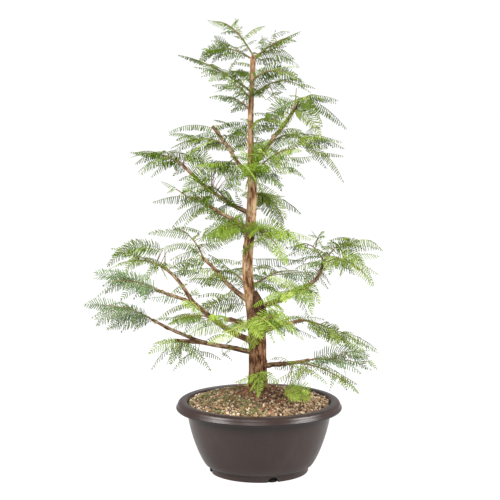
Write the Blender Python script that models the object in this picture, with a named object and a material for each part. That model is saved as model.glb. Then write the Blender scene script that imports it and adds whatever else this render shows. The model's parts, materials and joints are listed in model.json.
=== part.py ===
# Dawn redwood bonsai in a round plastic training pot.
# Metres, +Z up.  The origin is the middle of the pot's flat underside, the front is -Y.
# Pot, soil, trunk and boughs are one object each.  Every mass of foliage is one object too:
# a stem that carries fronds, each frond a toothed blade cut in to its rib between its needles.

import math
import random

import bmesh
import bpy
from mathutils import Matrix, Vector
from mathutils.bvhtree import BVHTree

GAP = 0.0003                    # air between two pieces that touch
UP = Vector((0, 0, 1))

# ---------------------------------------------------------------- pot and soil
POT_SEGMENTS = 32
UNDERSIDE_RADIUS = 0.0880
FOOT_RADIUS = 0.0897
FOOT_HEIGHT = 0.0122
FLOOR_TOP = 0.0100
RIM_RADIUS = 0.1500
RIM_TOP = 0.1305
RIM_INNER_RADIUS = 0.1305
# outer side of the bowl, radius and height, from the foot up to the groove under the rim
BOWL = ((0.0950, 0.0134), (0.1000, 0.0180), (0.1052, 0.0270), (0.1152, 0.0500),
        (0.1230, 0.0740), (0.1280, 0.0950), (0.1312, 0.1185))
# the rim, from the groove down its skirt, then over the top to the mouth
RIM = ((0.1462, 0.1185), (0.1466, 0.1152), (0.1494, 0.1152), (RIM_RADIUS, 0.1190),
       (0.1462, 0.1270), (0.1405, RIM_TOP), (RIM_INNER_RADIUS, 0.1296))
# inner side of the bowl, from the mouth down to the floor
INSIDE = ((0.1256, 0.1020), (0.1118, 0.0500), (0.0880, FLOOR_TOP))
DRAIN_COUNT = 4
DRAIN_TURN = math.radians(-74)  # first drain channel, from +X
DRAIN_SIDES = 8
DRAIN_RADIUS = 0.0100           # half width of a round-topped channel in the foot's edge
DRAIN_HEIGHT = 0.0096
DRAIN_DROP = 0.0004             # its widest line lies just under the underside
DRAIN_DEPTH = 0.0200            # how far a channel runs in from the foot's edge

SOIL_EDGE_HEIGHT = 0.1245
SOIL_TOP = 0.1500               # the mound at the trunk
SOIL_FLAT_RADIUS = 0.0270
SOIL_SHOULDERS = ((0.0980, 0.1310), (0.0600, 0.1430))

# ---------------------------------------------------------------- trunk
TRUNK_SIDES = 12
# height, middle in X, middle in Y, radius
TRUNK = (
    (SOIL_TOP + GAP, -0.0020, 0.000, 0.0220),
    (0.1570, -0.0020, 0.000, 0.0188),
    (0.1720, -0.0020, 0.000, 0.0168),
    (0.2050, -0.0025, 0.001, 0.0160),
    (0.2400, -0.0030, 0.002, 0.0160),
    (0.2720, -0.0060, 0.002, 0.0155),
    (0.2980, -0.0115, 0.001, 0.0122),
    (0.3250, -0.0165, 0.000, 0.0103),
    (0.3670, -0.0210, -0.001, 0.0098),
    (0.4220, -0.0180, 0.000, 0.0088),
    (0.4660, -0.0140, 0.002, 0.0090),
    (0.5110, -0.0120, 0.003, 0.0082),
    (0.5560, -0.0140, 0.002, 0.0065),
    (0.6000, -0.0150, 0.001, 0.0053),
    (0.6530, -0.0150, 0.000, 0.0052),
    (0.6880, -0.0130, 0.000, 0.0046),
    (0.7150, -0.0120, 0.000, 0.0045),
    (0.7400, -0.0110, 0.000, 0.0048),
    (0.7500, -0.0105, 0.000, 0.0030),
)
# the healed stump of the old leader, beside the fork: height, X, Y, radius
OLD_LEADER = (
    (0.2450, -0.0010, -0.001, 0.0120),
    (0.2750, 0.0005, -0.002, 0.0142),
    (0.2980, -0.0005, -0.003, 0.0126),
    (0.3160, -0.0045, -0.004, 0.0088),
    (0.3300, -0.0085, -0.004, 0.0046),
)

# ---------------------------------------------------------------- boughs
BOUGH_SIDES = 6
BOUGH_STEPS = 5                 # lengths of tube in a bough
COLLAR = 1.35                   # swelling where a bough leaves its parent
SWAY = 0.018                    # sideways wander, as a share of the length

# name, parent, where it leaves (height on the trunk, else share of the parent's length),
# tip, arch (rise of its middle), radius at the root, radius at the tip
BOUGHS = (
    ("bough_low_left", "trunk", 0.216, (-0.151, -0.020, 0.244), 0.003, 0.0046, 0.0034),
    ("bough_low_left_fork", "bough_low_left", 0.62, (-0.190, -0.035, 0.283), -0.004,
     0.0032, 0.0026),
    ("bough_left", "trunk", 0.232, (-0.123, -0.034, 0.320), -0.009, 0.0058, 0.0042),
    ("bough_left_fork_up", "bough_left", 1.0, (-0.173, 0.010, 0.371), 0.008, 0.0038, 0.0026),
    ("bough_left_fork_front", "bough_left", 0.86, (-0.178, -0.110, 0.349), 0.002, 0.0032, 0.0025),
    ("stub_left", "trunk", 0.253, (-0.063, 0.030, 0.273), 0.005, 0.0048, 0.0036),
    ("bough_back_left", "trunk", 0.307, (-0.104, 0.100, 0.376), -0.004, 0.0050, 0.0030),
    ("bough_right", "trunk", 0.300, (0.103, -0.010, 0.351), -0.008, 0.0052, 0.0034),
    ("bough_right_rise", "bough_right", 1.0, (0.120, -0.010, 0.390), 0.001, 0.0032, 0.0026),
    ("bough_back_right", "trunk", 0.254, (0.084, 0.055, 0.267), 0.002, 0.0046, 0.0030),
    ("bough_low_right", "trunk", 0.190, (0.089, -0.030, 0.209), 0.000, 0.0046, 0.0030),
    ("bough_front", "trunk", 0.270, (0.032, -0.078, 0.298), 0.002, 0.0046, 0.0030),
    ("bough_mid_front_left", "trunk", 0.438, (-0.095, -0.080, 0.495), 0.001, 0.0038, 0.0026),
    ("bough_mid_left", "trunk", 0.468, (-0.139, 0.035, 0.554), -0.010, 0.0040, 0.0026),
    ("stub_mid_left", "trunk", 0.532, (-0.085, 0.070, 0.621), -0.002, 0.0038, 0.0028),
    ("bough_mid_right", "trunk", 0.549, (0.071, -0.018, 0.672), -0.004, 0.0042, 0.0026),
)

# ---------------------------------------------------------------- foliage
STEM_SIDES = 4
STEM_STEPS = 4
STEM_END = 0.66                 # share of a mass's path that is woody stem
STEM_ROOT_RADIUS = 0.0016       # of a stem with no length, plus the next
STEM_ROOT_SHARE = 0.009         # share of the path's length
STEM_TIP_RADIUS = 0.0015
FIRST_LATERAL = 0.14            # share of the path at the first side frond
LAST_LATERAL = 0.60
LAST_FROND_START = 0.56         # the frond at the end grows on from inside the stem
TWIG_LENGTH = 1.45              # of a twig with its last frond, in lengths of a frond
TWIG_DROOP = 0.6                # share of a frond's droop
TWIG_END = 0.50                 # share of a twig that is wood
TWIG_LAST_FROND = 0.46          # its last frond starts inside the wood
TWIG_POINTS = 3
TWIG_SIDES = 3
TWIG_RADIUS = 0.0013
TWIG_FRONDS = ((0.45, 1), (0.70, -1))   # where on its wood the side fronds leave, and the hand
TWIG_FROND_SIZE = 0.9           # of the mass's own fronds
RIB_POINTS = 4
TEETH = 4
SHORT_FROND = 0.074             # a frond shorter than this has one tooth less a side
BARE_RIB = 0.12                 # share of a frond before its first tooth begins
LAST_TOOTH = 0.96               # share at which its last tooth ends
SWEEP = 0.45                    # how far a tooth leans to the tip, in half widths
FOOT_SWELL = 0.28               # a blade is widest past its middle: a stretch of a half sine
TIP_SWELL = 0.62
BLADE_THICKNESS = 0.015         # share of the frond's length, at the rib
BLADE_WIDTH = 0.21              # half width as a share of the length
BLADE_MAX_WIDTH = 0.0180
VALLEY = 0.24                   # how far out the cuts between the teeth stop
ROOT_HALF_WIDTH = 0.0006
SKIN = 0.0012                   # room kept round a frond
SPREAD_DEGREES = (36, 66)       # between a side frond and the way its stem runs
LIFT = (-0.12, 0.24)            # rise of a side frond's heading
SIZE_SPREAD = (0.86, 1.08)
DROOP_SPREAD = (0.7, 1.3)
ROLL_DEGREES = (8, 60)          # a frond's blade about its rib, either way
TRIES = 8                       # angles tried before a frond is left out
TRY_TURN = math.radians(7)
TRY_LIFT = 0.10

# name, parent, where it leaves, tip, arch, laterals, how many of them are twigs,
# length of a frond, droop, colour
MASSES = (
    ("mass_low_left", "bough_low_left_fork", 1.0, (-0.284, -0.060, 0.313), 0.008, 5, 2,
     0.064, 0.42, "shade"),
    ("mass_low_left_under", "bough_low_left", 0.93, (-0.140, -0.070, 0.214), 0.008, 4, 0,
     0.062, 0.45, "green"),
    ("mass_left_front", "bough_left_fork_front", 1.0, (-0.258, -0.160, 0.368), 0.008, 5, 2,
     0.066, 0.36, "shade"),
    ("mass_left", "bough_left_fork_up", 1.0, (-0.270, 0.050, 0.364), 0.014, 5, 1,
     0.068, 0.42, "green"),
    ("mass_front_left", "bough_left", 0.40, (-0.150, -0.195, 0.305), 0.020, 5, 1,
     0.080, 0.30, "bright"),
    ("mass_back_left", "bough_back_left", 1.0, (-0.165, 0.205, 0.420), 0.018, 4, 1,
     0.080, 0.32, "green"),
    ("mass_right_front", "bough_right_rise", 0.70, (0.194, -0.105, 0.356), 0.024, 4, 0,
     0.078, 0.32, "green"),
    ("mass_right", "bough_right_rise", 1.0, (0.174, 0.030, 0.404), 0.016, 4, 0,
     0.074, 0.28, "green"),
    ("mass_right_back", "bough_right_rise", 0.80, (0.066, 0.110, 0.392), 0.020, 4, 0,
     0.078, 0.32, "green"),
    ("mass_right_under", "bough_right", 0.42, (0.098, -0.090, 0.340), 0.012, 4, 1,
     0.078, 0.34, "bright"),
    ("mass_back_right", "bough_back_right", 1.0, (0.190, 0.110, 0.196), 0.012, 4, 1,
     0.078, 0.30, "green"),
    ("mass_back_right_up", "trunk", 0.334, (0.092, 0.160, 0.340), 0.016, 4, 1,
     0.080, 0.30, "shade"),
    ("mass_low_right", "bough_low_right", 1.0, (0.197, -0.060, 0.199), 0.010, 5, 2,
     0.062, 0.26, "shade"),
    ("mass_low_right_front", "bough_low_right", 0.66, (0.168, -0.145, 0.176), 0.014, 4, 1,
     0.070, 0.26, "green"),
    ("mass_front", "bough_front", 1.0, (-0.018, -0.195, 0.262), 0.014, 4, 1,
     0.080, 0.32, "bright"),
    ("mass_back", "trunk", 0.330, (-0.105, 0.215, 0.312), 0.030, 5, 1,
     0.084, 0.30, "green"),
    ("mass_low_back", "trunk", 0.246, (0.080, 0.205, 0.222), 0.022, 4, 0,
     0.082, 0.28, "shade"),
    ("mass_foot", "trunk", 0.182, (-0.002, -0.085, 0.157), 0.010, 2, 0,
     0.045, 0.25, "bright"),
    ("mass_mid_front_left", "bough_mid_front_left", 1.0, (-0.122, -0.125, 0.500), 0.010, 5, 0,
     0.076, 0.46, "green"),
    ("mass_mid_front_low", "trunk", 0.428, (-0.064, -0.130, 0.444), 0.020, 5, 0,
     0.076, 0.34, "bright"),
    ("mass_mid_left", "bough_mid_left", 1.0, (-0.232, 0.060, 0.566), 0.014, 5, 1,
     0.078, 0.42, "green"),
    ("mass_mid_left_inner", "bough_mid_left", 0.36, (-0.104, -0.085, 0.512), 0.018, 5, 0,
     0.074, 0.42, "green"),
    ("mass_mid_left_up", "stub_mid_left", 0.66, (-0.160, 0.080, 0.582), 0.014, 4, 1,
     0.068, 0.40, "green"),
    ("mass_mid_front", "trunk", 0.444, (0.046, -0.140, 0.398), 0.016, 4, 0,
     0.078, 0.34, "bright"),
    ("mass_mid_back", "trunk", 0.500, (0.046, 0.130, 0.440), 0.024, 4, 0,
     0.070, 0.36, "green"),
    ("mass_centre", "trunk", 0.528, (-0.024, -0.140, 0.548), 0.024, 5, 1,
     0.074, 0.36, "bright"),
    ("mass_centre_right", "trunk", 0.532, (0.070, -0.110, 0.588), 0.018, 5, 1,
     0.068, 0.34, "bright"),
    ("mass_upper_right_back", "bough_mid_right", 0.40, (0.122, 0.072, 0.548), 0.034, 4, 1,
     0.076, 0.34, "green"),
    ("mass_upper_right", "bough_mid_right", 1.0, (0.108, -0.065, 0.628), 0.022, 4, 1,
     0.068, 0.36, "green"),
    ("mass_upper_front", "trunk", 0.622, (0.040, -0.085, 0.630), 0.014, 5, 0,
     0.064, 0.34, "green"),
    ("mass_upper_back", "trunk", 0.580, (-0.052, 0.118, 0.596), 0.024, 4, 1,
     0.072, 0.34, "green"),
    ("mass_upper_left", "trunk", 0.648, (-0.070, 0.055, 0.668), 0.014, 4, 0,
     0.056, 0.32, "green"),
    ("mass_upper_front_left", "trunk", 0.670, (-0.058, -0.085, 0.694), 0.012, 4, 0,
     0.054, 0.32, "green"),
    ("mass_top_left", "trunk", 0.684, (-0.139, -0.045, 0.748), 0.010, 5, 1,
     0.056, 0.30, "green"),
    ("mass_top_right", "trunk", 0.676, (0.092, 0.030, 0.684), 0.024, 5, 1,
     0.056, 0.32, "green"),
    ("mass_top_front", "trunk", 0.705, (0.062, -0.085, 0.710), 0.015, 4, 0,
     0.052, 0.30, "green"),
    ("mass_top_back", "trunk", 0.700, (-0.032, 0.095, 0.712), 0.014, 4, 0,
     0.054, 0.30, "green"),
    ("mass_crown_left", "trunk", 0.741, (-0.098, 0.034, 0.752), 0.014, 5, 1,
     0.050, 0.22, "green"),
    ("mass_crown_right", "trunk", 0.745, (0.070, -0.030, 0.790), 0.002, 4, 1,
     0.048, 0.20, "green"),
    ("mass_crown_back", "trunk", 0.736, (0.040, 0.080, 0.768), 0.010, 5, 0,
     0.050, 0.22, "green"),
    ("mass_leader", "trunk", 0.748, (-0.082, -0.018, 0.807), 0.018, 5, 1,
     0.046, 0.16, "green"),
)

COLOURS = {
    "pot": (0.060, 0.043, 0.038),
    "soil": (0.300, 0.210, 0.130),
    "bark": (0.270, 0.140, 0.080),
    "bright": (0.340, 0.520, 0.110),
    "green": (0.210, 0.360, 0.110),
    "shade": (0.130, 0.240, 0.130),
}


# ---------------------------------------------------------------- materials and objects
def make_material(name, colour, roughness):
    material = bpy.data.materials.new(name)
    material.use_nodes = True
    shader = material.node_tree.nodes["Principled BSDF"]
    shader.inputs["Base Color"].default_value = (*colour, 1)
    shader.inputs["Roughness"].default_value = roughness
    shader.inputs["Metallic"].default_value = 0
    return material


def make_object(name, bm, material=None):
    mesh = bpy.data.meshes.new(name)
    bm.to_mesh(mesh)
    bm.free()
    thing = bpy.data.objects.new(name, mesh)
    bpy.context.scene.collection.objects.link(thing)
    if material:
        mesh.materials.append(material)
    return thing


def apply_modifiers(thing):
    graph = bpy.context.evaluated_depsgraph_get()
    solid = bpy.data.meshes.new_from_object(thing.evaluated_get(graph))
    thing.modifiers.clear()
    old = thing.data
    thing.data = solid
    bpy.data.meshes.remove(old)


def keep_largest_body(thing):
    # drops the loose scraps that a Boolean can leave, and triangulates what stays
    bm = bmesh.new()
    bm.from_mesh(thing.data)
    left = set(bm.verts)
    bodies = []
    while left:
        body = {left.pop()}
        front = list(body)
        while front:
            for edge in front.pop().link_edges:
                for vert in edge.verts:
                    if vert in left:
                        left.remove(vert)
                        body.add(vert)
                        front.append(vert)
        bodies.append(body)
    bodies.sort(key=len)
    for body in bodies[:-1]:
        bmesh.ops.delete(bm, geom=list(body), context="VERTS")
    bmesh.ops.triangulate(bm, faces=bm.faces)
    bm.to_mesh(thing.data)
    bm.free()


def join_with(thing, others, operation):
    # one Boolean on a collection of the others, applied, and the others removed
    group = bpy.data.collections.new("joined")
    bpy.context.scene.collection.children.link(group)
    for other in others:
        bpy.context.scene.collection.objects.unlink(other)
        group.objects.link(other)
    boolean = thing.modifiers.new("join", "BOOLEAN")
    boolean.operation = operation
    boolean.solver = "EXACT"
    boolean.operand_type = "COLLECTION"
    boolean.collection = group
    apply_modifiers(thing)
    for other in others:
        mesh = other.data
        bpy.data.objects.remove(other)
        bpy.data.meshes.remove(mesh)
    bpy.data.collections.remove(group)
    keep_largest_body(thing)


# ---------------------------------------------------------------- turned pieces
def turned(profile):
    # spins a closed profile of (radius, height), listed from its foot up its outer side
    bm = bmesh.new()
    ring = [bm.verts.new((radius, 0, height)) for radius, height in profile]
    edges = [bm.edges.new(pair) for pair in zip(ring, ring[1:])]
    bmesh.ops.spin(bm, geom=ring + edges, axis=UP, cent=(0, 0, 0), angle=2 * math.pi,
                   steps=POT_SEGMENTS, use_merge=True)
    bmesh.ops.remove_doubles(bm, verts=bm.verts, dist=0.00001)
    bmesh.ops.recalc_face_normals(bm, faces=bm.faces)
    return bm


def make_pot(material):
    foot = ((0, 0), (UNDERSIDE_RADIUS, 0), (FOOT_RADIUS, 0.0020), (FOOT_RADIUS, FOOT_HEIGHT))
    profile = foot + BOWL + RIM + INSIDE + ((0, FLOOR_TOP),)
    pot = make_object("pot", turned(profile), material)
    cutters = []
    for number in range(DRAIN_COUNT):
        bm = bmesh.new()
        bmesh.ops.create_cone(bm, cap_ends=True, segments=DRAIN_SIDES, radius1=DRAIN_RADIUS,
                              radius2=DRAIN_RADIUS, depth=2 * DRAIN_DEPTH)
        bmesh.ops.rotate(bm, matrix=Matrix.Rotation(math.pi / DRAIN_SIDES, 3, "Z"),
                         verts=bm.verts)
        bmesh.ops.rotate(bm, matrix=Matrix.Rotation(math.pi / 2, 3, "Y"), verts=bm.verts)
        bmesh.ops.scale(bm, vec=(1, 1, DRAIN_HEIGHT / DRAIN_RADIUS), verts=bm.verts)
        bmesh.ops.translate(bm, vec=(FOOT_RADIUS, 0, -DRAIN_DROP), verts=bm.verts)
        turn = DRAIN_TURN + number * 2 * math.pi / DRAIN_COUNT
        bmesh.ops.rotate(bm, matrix=Matrix.Rotation(turn, 3, "Z"), verts=bm.verts)
        cutters.append(make_object("drain", bm))
    join_with(pot, cutters, "DIFFERENCE")
    return pot


def make_soil(material):
    bed = [(radius - GAP, height + GAP) for radius, height in reversed(INSIDE)]
    bed = [(0, FLOOR_TOP + GAP)] + [point for point in bed if point[1] < SOIL_EDGE_HEIGHT]
    low, high = INSIDE[0], RIM[-1]
    share = (SOIL_EDGE_HEIGHT - low[1]) / (high[1] - low[1])
    bed.append((low[0] + share * (high[0] - low[0]) - GAP, SOIL_EDGE_HEIGHT))
    mound = SOIL_SHOULDERS + ((SOIL_FLAT_RADIUS, SOIL_TOP), (0, SOIL_TOP))
    return make_object("soil", turned(tuple(bed) + mound), material)


# ---------------------------------------------------------------- limbs
def tube(points, radii, sides):
    # closed tapering tube along the points
    bm = bmesh.new()
    rings = []
    heading = (points[1] - points[0]).normalized()
    across = heading.orthogonal().normalized()
    for number, point in enumerate(points):
        before = points[max(number - 1, 0)]
        after = points[min(number + 1, len(points) - 1)]
        heading = (after - before).normalized()
        across = (across - heading * across.dot(heading)).normalized()
        other = heading.cross(across)
        ring = []
        for side in range(sides):
            turn = 2 * math.pi * side / sides
            spoke = across * math.cos(turn) + other * math.sin(turn)
            ring.append(bm.verts.new(point + spoke * radii[number]))
        rings.append(ring)
    for lower, upper in zip(rings, rings[1:]):
        for side in range(sides):
            after = (side + 1) % sides
            bm.faces.new((lower[side], lower[after], upper[after], upper[side]))
    bm.faces.new(reversed(rings[0]))
    bm.faces.new(rings[-1])
    return bm


def upright_points(rows):
    return [Vector((x, y, height)) for height, x, y, radius in rows]


def trunk_at(height):
    for low, high in zip(TRUNK, TRUNK[1:]):
        if low[0] <= height <= high[0]:
            share = (height - low[0]) / (high[0] - low[0])
            low_point = Vector((low[1], low[2], low[0]))
            return low_point.lerp(Vector((high[1], high[2], high[0])), share)
    return Vector((TRUNK[-1][1], TRUNK[-1][2], TRUNK[-1][0]))


def curve(start, tip, arch, sway):
    # path from start to tip as a function of the share travelled
    span = tip - start
    middle = (start + tip) / 2 + UP * 2 * arch
    aside = span.cross(UP)
    aside = aside.normalized() if aside.length > 0.0001 else Vector((1, 0, 0))

    def at(share):
        rest = 1 - share
        point = start * rest * rest + middle * 2 * rest * share + tip * share * share
        return point + aside * span.length * sway * math.sin(2 * math.pi * share)
    return at


def steps(path, first, last, count):
    # evenly spaced points of a path between two shares of it
    return [path(first + (last - first) * step / (count - 1)) for step in range(count)]


class Tree:
    # keeps every limb's path, and the room that is taken

    def __init__(self):
        self.paths = {}
        self.radii = {}
        self.taken_verts = []
        self.taken_faces = []
        self.room = None

    def take_room(self, thing):
        first = len(self.taken_verts)
        self.taken_verts.extend(vert.co.copy() for vert in thing.data.vertices)
        for face in thing.data.polygons:
            self.taken_faces.append([first + index for index in face.vertices])
        self.room = BVHTree.FromPolygons(self.taken_verts, self.taken_faces)

    def start(self, parent, where):
        if parent == "trunk":
            return trunk_at(where)
        return self.paths[parent](min(where, 0.985))

    def clear_shells(self, parent):
        # the parent's own tubes, made fatter by the gap that a child keeps to it
        if parent == "trunk":
            return [clear_shell(upright_points(rows), [row[3] for row in rows], TRUNK_SIDES)
                    for rows in (TRUNK, OLD_LEADER)]
        points = steps(self.paths[parent], 0, 1, BOUGH_STEPS + 1)
        return [clear_shell(points, self.radii[parent], BOUGH_SIDES)]


def clear_shell(points, radii, sides):
    # a limb's tube, fatter and longer by the gap that a child keeps to it
    clearance = 1.15 * GAP
    points[-1] = points[-1] + (points[-1] - points[-2]).normalized() * clearance
    return make_object("shell", tube(points, [radius + clearance for radius in radii], sides))


def make_trunk(tree, material):
    radii = [row[3] for row in TRUNK]
    trunk = make_object("trunk", tube(upright_points(TRUNK), radii, TRUNK_SIDES), material)
    radii = [row[3] for row in OLD_LEADER]
    stump = make_object("stump", tube(upright_points(OLD_LEADER), radii, TRUNK_SIDES))
    join_with(trunk, [stump], "UNION")
    tree.take_room(trunk)


def make_bough(tree, row, number, material):
    name, parent, where, tip, arch, root_radius, tip_radius = row
    sway = SWAY * (1 if number % 2 else -1)
    at = curve(tree.start(parent, where), Vector(tip), arch, sway)
    radii = [root_radius + (tip_radius - root_radius) * step / BOUGH_STEPS
             for step in range(BOUGH_STEPS + 1)]
    radii[0] *= COLLAR
    points = steps(at, 0, 1, BOUGH_STEPS + 1)
    bough = make_object(name, tube(points, radii, BOUGH_SIDES), material)
    join_with(bough, tree.clear_shells(parent), "DIFFERENCE")
    tree.paths[name] = at
    tree.radii[name] = radii
    tree.take_room(bough)


# ---------------------------------------------------------------- fronds
def blade_sections(rib, roll):
    # side and face directions along the rib
    sections = []
    for number, point in enumerate(rib):
        before = rib[max(number - 1, 0)]
        after = rib[min(number + 1, len(rib) - 1)]
        heading = (after - before).normalized()
        side = heading.cross(UP)
        side = side.normalized() if side.length > 0.05 else heading.orthogonal().normalized()
        side.rotate(Matrix.Rotation(roll, 3, heading))
        sections.append((point, heading, side, side.cross(heading)))
    return sections


def on_rib(sections, share):
    place = share * (len(sections) - 1)
    low = min(int(place), len(sections) - 2)
    part = place - low
    return [a.lerp(b, part) for a, b in zip(sections[low], sections[low + 1])]


def blade_edge(sections, length, width, side_sign):
    # the toothed edge on one side, as (share of the rib, point), with its teeth swept forward
    edge = []
    teeth = TEETH if length > SHORT_FROND else TEETH - 1
    step = (LAST_TOOTH - BARE_RIB) / teeth
    for tooth in range(teeth):
        share = BARE_RIB + step * tooth
        swept = 0.55 * step + SWEEP * width / length
        reach = share + min(swept, 0.92 * step)
        swell = math.sin(math.pi * (FOOT_SWELL + TIP_SWELL * (tooth + 0.5) / teeth))
        corners = ((share, VALLEY), (reach, swell)) if tooth else ((reach, swell),)
        for place, out in corners:
            point, heading, side, face = on_rib(sections, place)
            edge.append((place, point + side * side_sign * width * out))
    return edge


def frond_blade(rib, width, roll):
    # toothed blade: a ridge over the rib, a flat underside, thin at the teeth
    sections = blade_sections(rib, roll)
    length = sum((b - a).length for a, b in zip(rib, rib[1:]))
    bm = bmesh.new()
    tip = bm.verts.new(sections[-1][0])
    ridge = []
    for number, (point, heading, side, face) in enumerate(sections[:-1]):
        thick = BLADE_THICKNESS * length * (1 - 0.5 * number / len(sections))
        ridge.append(bm.verts.new(point + face * thick))
    edges = []
    for side_sign in (1, -1):
        point, heading, side, face = sections[0]
        edge = [(0, bm.verts.new(point + side * side_sign * ROOT_HALF_WIDTH))]
        for share, place in blade_edge(sections, length, width, side_sign):
            edge.append((share, bm.verts.new(place)))
        zip_faces(bm, ridge, edge, tip)
        edges.append([vert for share, vert in edge])
    left, right = edges
    for number in range(len(left) - 1):
        bm.faces.new((left[number], right[number], right[number + 1], left[number + 1]))
    bm.faces.new((left[-1], right[-1], tip))
    bm.faces.new((ridge[0], left[0], right[0]))
    bmesh.ops.recalc_face_normals(bm, faces=bm.faces)
    return bm


def zip_faces(bm, ridge, edge, tip):
    # triangles between the ridge and a toothed edge, which meet at the tip
    near, far = 0, 0
    while near < len(ridge) - 1 or far < len(edge) - 1:
        next_near = (near + 1) / len(ridge) if near < len(ridge) - 1 else 2
        next_far = edge[far + 1][0] if far < len(edge) - 1 else 2
        if next_far <= next_near:
            bm.faces.new((ridge[near], edge[far][1], edge[far + 1][1]))
            far += 1
        else:
            bm.faces.new((ridge[near], edge[far][1], ridge[near + 1]))
            near += 1
    bm.faces.new((ridge[-1], edge[-1][1], tip))


def frond_slab(rib, width, roll):
    # a slab a little larger than the frond, past its bare foot
    verts = []
    faces = []
    sections = blade_sections(rib, roll)
    shares = (BARE_RIB, 0.3, 0.5, 0.75, 1.0)
    for share in shares:
        point, heading, side, face = on_rib(sections, share)
        for across in (-1, 0, 1):
            for above in (-SKIN, SKIN):
                verts.append(point + side * across * (width + SKIN) + face * above)
    for row in range(len(shares) - 1):
        first = 6 * row
        for corner in (0, 2, 1, 3):
            faces.append((first + corner, first + corner + 2, first + corner + 8,
                          first + corner + 6))
        faces.append((first, first + 1, first + 7, first + 6))
        faces.append((first + 4, first + 5, first + 11, first + 10))
    return BVHTree.FromPolygons(verts, faces)


def draw_lateral(rng, length, droop):
    # one side frond's angles and size, drawn in a fixed order
    spread = math.radians(rng.uniform(*SPREAD_DEGREES))
    lift = rng.uniform(*LIFT)
    size = length * rng.uniform(*SIZE_SPREAD)
    hang = droop * rng.uniform(*DROOP_SPREAD)
    roll = math.radians(rng.uniform(*ROLL_DEGREES)) * rng.choice((-1, 1))
    return spread, lift, size, hang, roll


def lateral_heading(path, share, hand, spread, lift):
    # leaves the path sideways, to the left or the right of the way it runs
    along = (path(share + 0.04) - path(share - 0.04)).normalized()
    flat = along.cross(UP)
    flat = flat.normalized() if flat.length > 0.25 else Vector((1, 0, 0))
    heading = along * math.cos(spread) + flat * hand * math.sin(spread) + UP * lift
    return heading.normalized()


def hanging(root, heading, length, droop):
    # path of a frond or twig that bends down under its own weight
    def at(share):
        return root + heading * length * share - UP * droop * length * share * share
    return at


class Mass:
    # one mass of foliage while it grows

    def __init__(self, tree):
        self.tree = tree
        self.pieces = []
        self.slabs = []
        self.fronds = 0
        self.left_out = 0

    def add_frond(self, rib, roll):
        length = sum((b - a).length for a, b in zip(rib, rib[1:]))
        width = min(BLADE_WIDTH * length, BLADE_MAX_WIDTH)
        slab = frond_slab(rib, width, roll)
        if any(slab.overlap(other) for other in [self.tree.room] + self.slabs):
            return False
        self.pieces.append(make_object("frond", frond_blade(rib, width, roll)))
        self.slabs.append(slab)
        self.fronds += 1
        return True

    def try_frond(self, path, share, hand, drawn):
        # a frond that meets something is turned a little, and in the end left out
        spread, lift, size, hang, roll = drawn
        for attempt in range(TRIES):
            turn = spread + TRY_TURN * attempt * (-1) ** attempt
            heading = lateral_heading(path, share, hand, turn, lift + TRY_LIFT * attempt)
            frond = hanging(path(share), heading, size, hang)
            if self.add_frond(steps(frond, 0, 1, RIB_POINTS), roll):
                return
        self.left_out += 1

    def add_twig(self, path, share, hand, drawn, side_fronds):
        # a twig with a frond on each side and one that ends it
        spread, lift, size, hang, roll = drawn
        heading = lateral_heading(path, share, hand, spread, lift)
        twig = hanging(path(share), heading, size * TWIG_LENGTH, TWIG_DROOP * hang)
        points = steps(twig, 0, TWIG_END, TWIG_POINTS)
        if twig_probe(points).overlap(self.tree.room):
            self.try_frond(path, share, hand, drawn)
            return
        wood = tube(points, [TWIG_RADIUS] * TWIG_POINTS, TWIG_SIDES)
        self.pieces.append(make_object("twig", wood))
        self.add_frond(steps(twig, TWIG_LAST_FROND, 1, RIB_POINTS), 0.5 * roll)
        for (place, side), drawn_side in zip(TWIG_FRONDS, side_fronds):
            self.try_frond(twig, TWIG_END * place, side, drawn_side)


def twig_probe(points):
    # a strip along a twig, past its foot, to test what it meets
    verts = []
    faces = []
    for point in [points[0].lerp(points[1], 0.3)] + points[1:]:
        verts.append(point + Vector((0, 0, 2 * TWIG_RADIUS)))
        verts.append(point - Vector((0, 0, 2 * TWIG_RADIUS)))
    for row in range(len(points) - 1):
        faces.append((2 * row, 2 * row + 1, 2 * row + 3, 2 * row + 2))
    return BVHTree.FromPolygons(verts, faces)


def make_mass(tree, row, material):
    name, parent, where, tip, arch, count, twigs, length, droop, colour = row
    rng = random.Random(name)
    start = tree.start(parent, where)
    path = curve(start, Vector(tip), arch, 0.5 * SWAY)
    root_radius = STEM_ROOT_RADIUS + STEM_ROOT_SHARE * (Vector(tip) - start).length
    if parent != "trunk":
        root_radius = min(root_radius, 0.95 * tree.radii[parent][-1])
    radii = []
    for step in range(STEM_STEPS + 1):
        radii.append(root_radius + (STEM_TIP_RADIUS - root_radius) * step / STEM_STEPS)
    points = steps(path, 0, STEM_END, STEM_STEPS + 1)
    stem = make_object(name, tube(points, radii, STEM_SIDES), material)
    join_with(stem, tree.clear_shells(parent), "DIFFERENCE")

    mass = Mass(tree)
    mass.add_frond(steps(path, LAST_FROND_START, 1, RIB_POINTS), 0)
    for number in range(count):
        share = FIRST_LATERAL + (LAST_LATERAL - FIRST_LATERAL) * (number + 0.5) / count
        hand = 1 if number % 2 else -1
        drawn = draw_lateral(rng, length, droop)
        if number in range(1, 1 + twigs):
            side_fronds = [draw_lateral(rng, TWIG_FROND_SIZE * length, droop)
                           for place, side in TWIG_FRONDS]
            mass.add_twig(path, share, hand, drawn, side_fronds)
        else:
            mass.try_frond(path, share, hand, drawn)
    join_with(stem, mass.pieces, "UNION")
    tree.take_room(stem)
    faces = len(stem.data.polygons)
    print(name, "fronds", mass.fronds, "left out", mass.left_out, "faces", faces)


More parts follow.
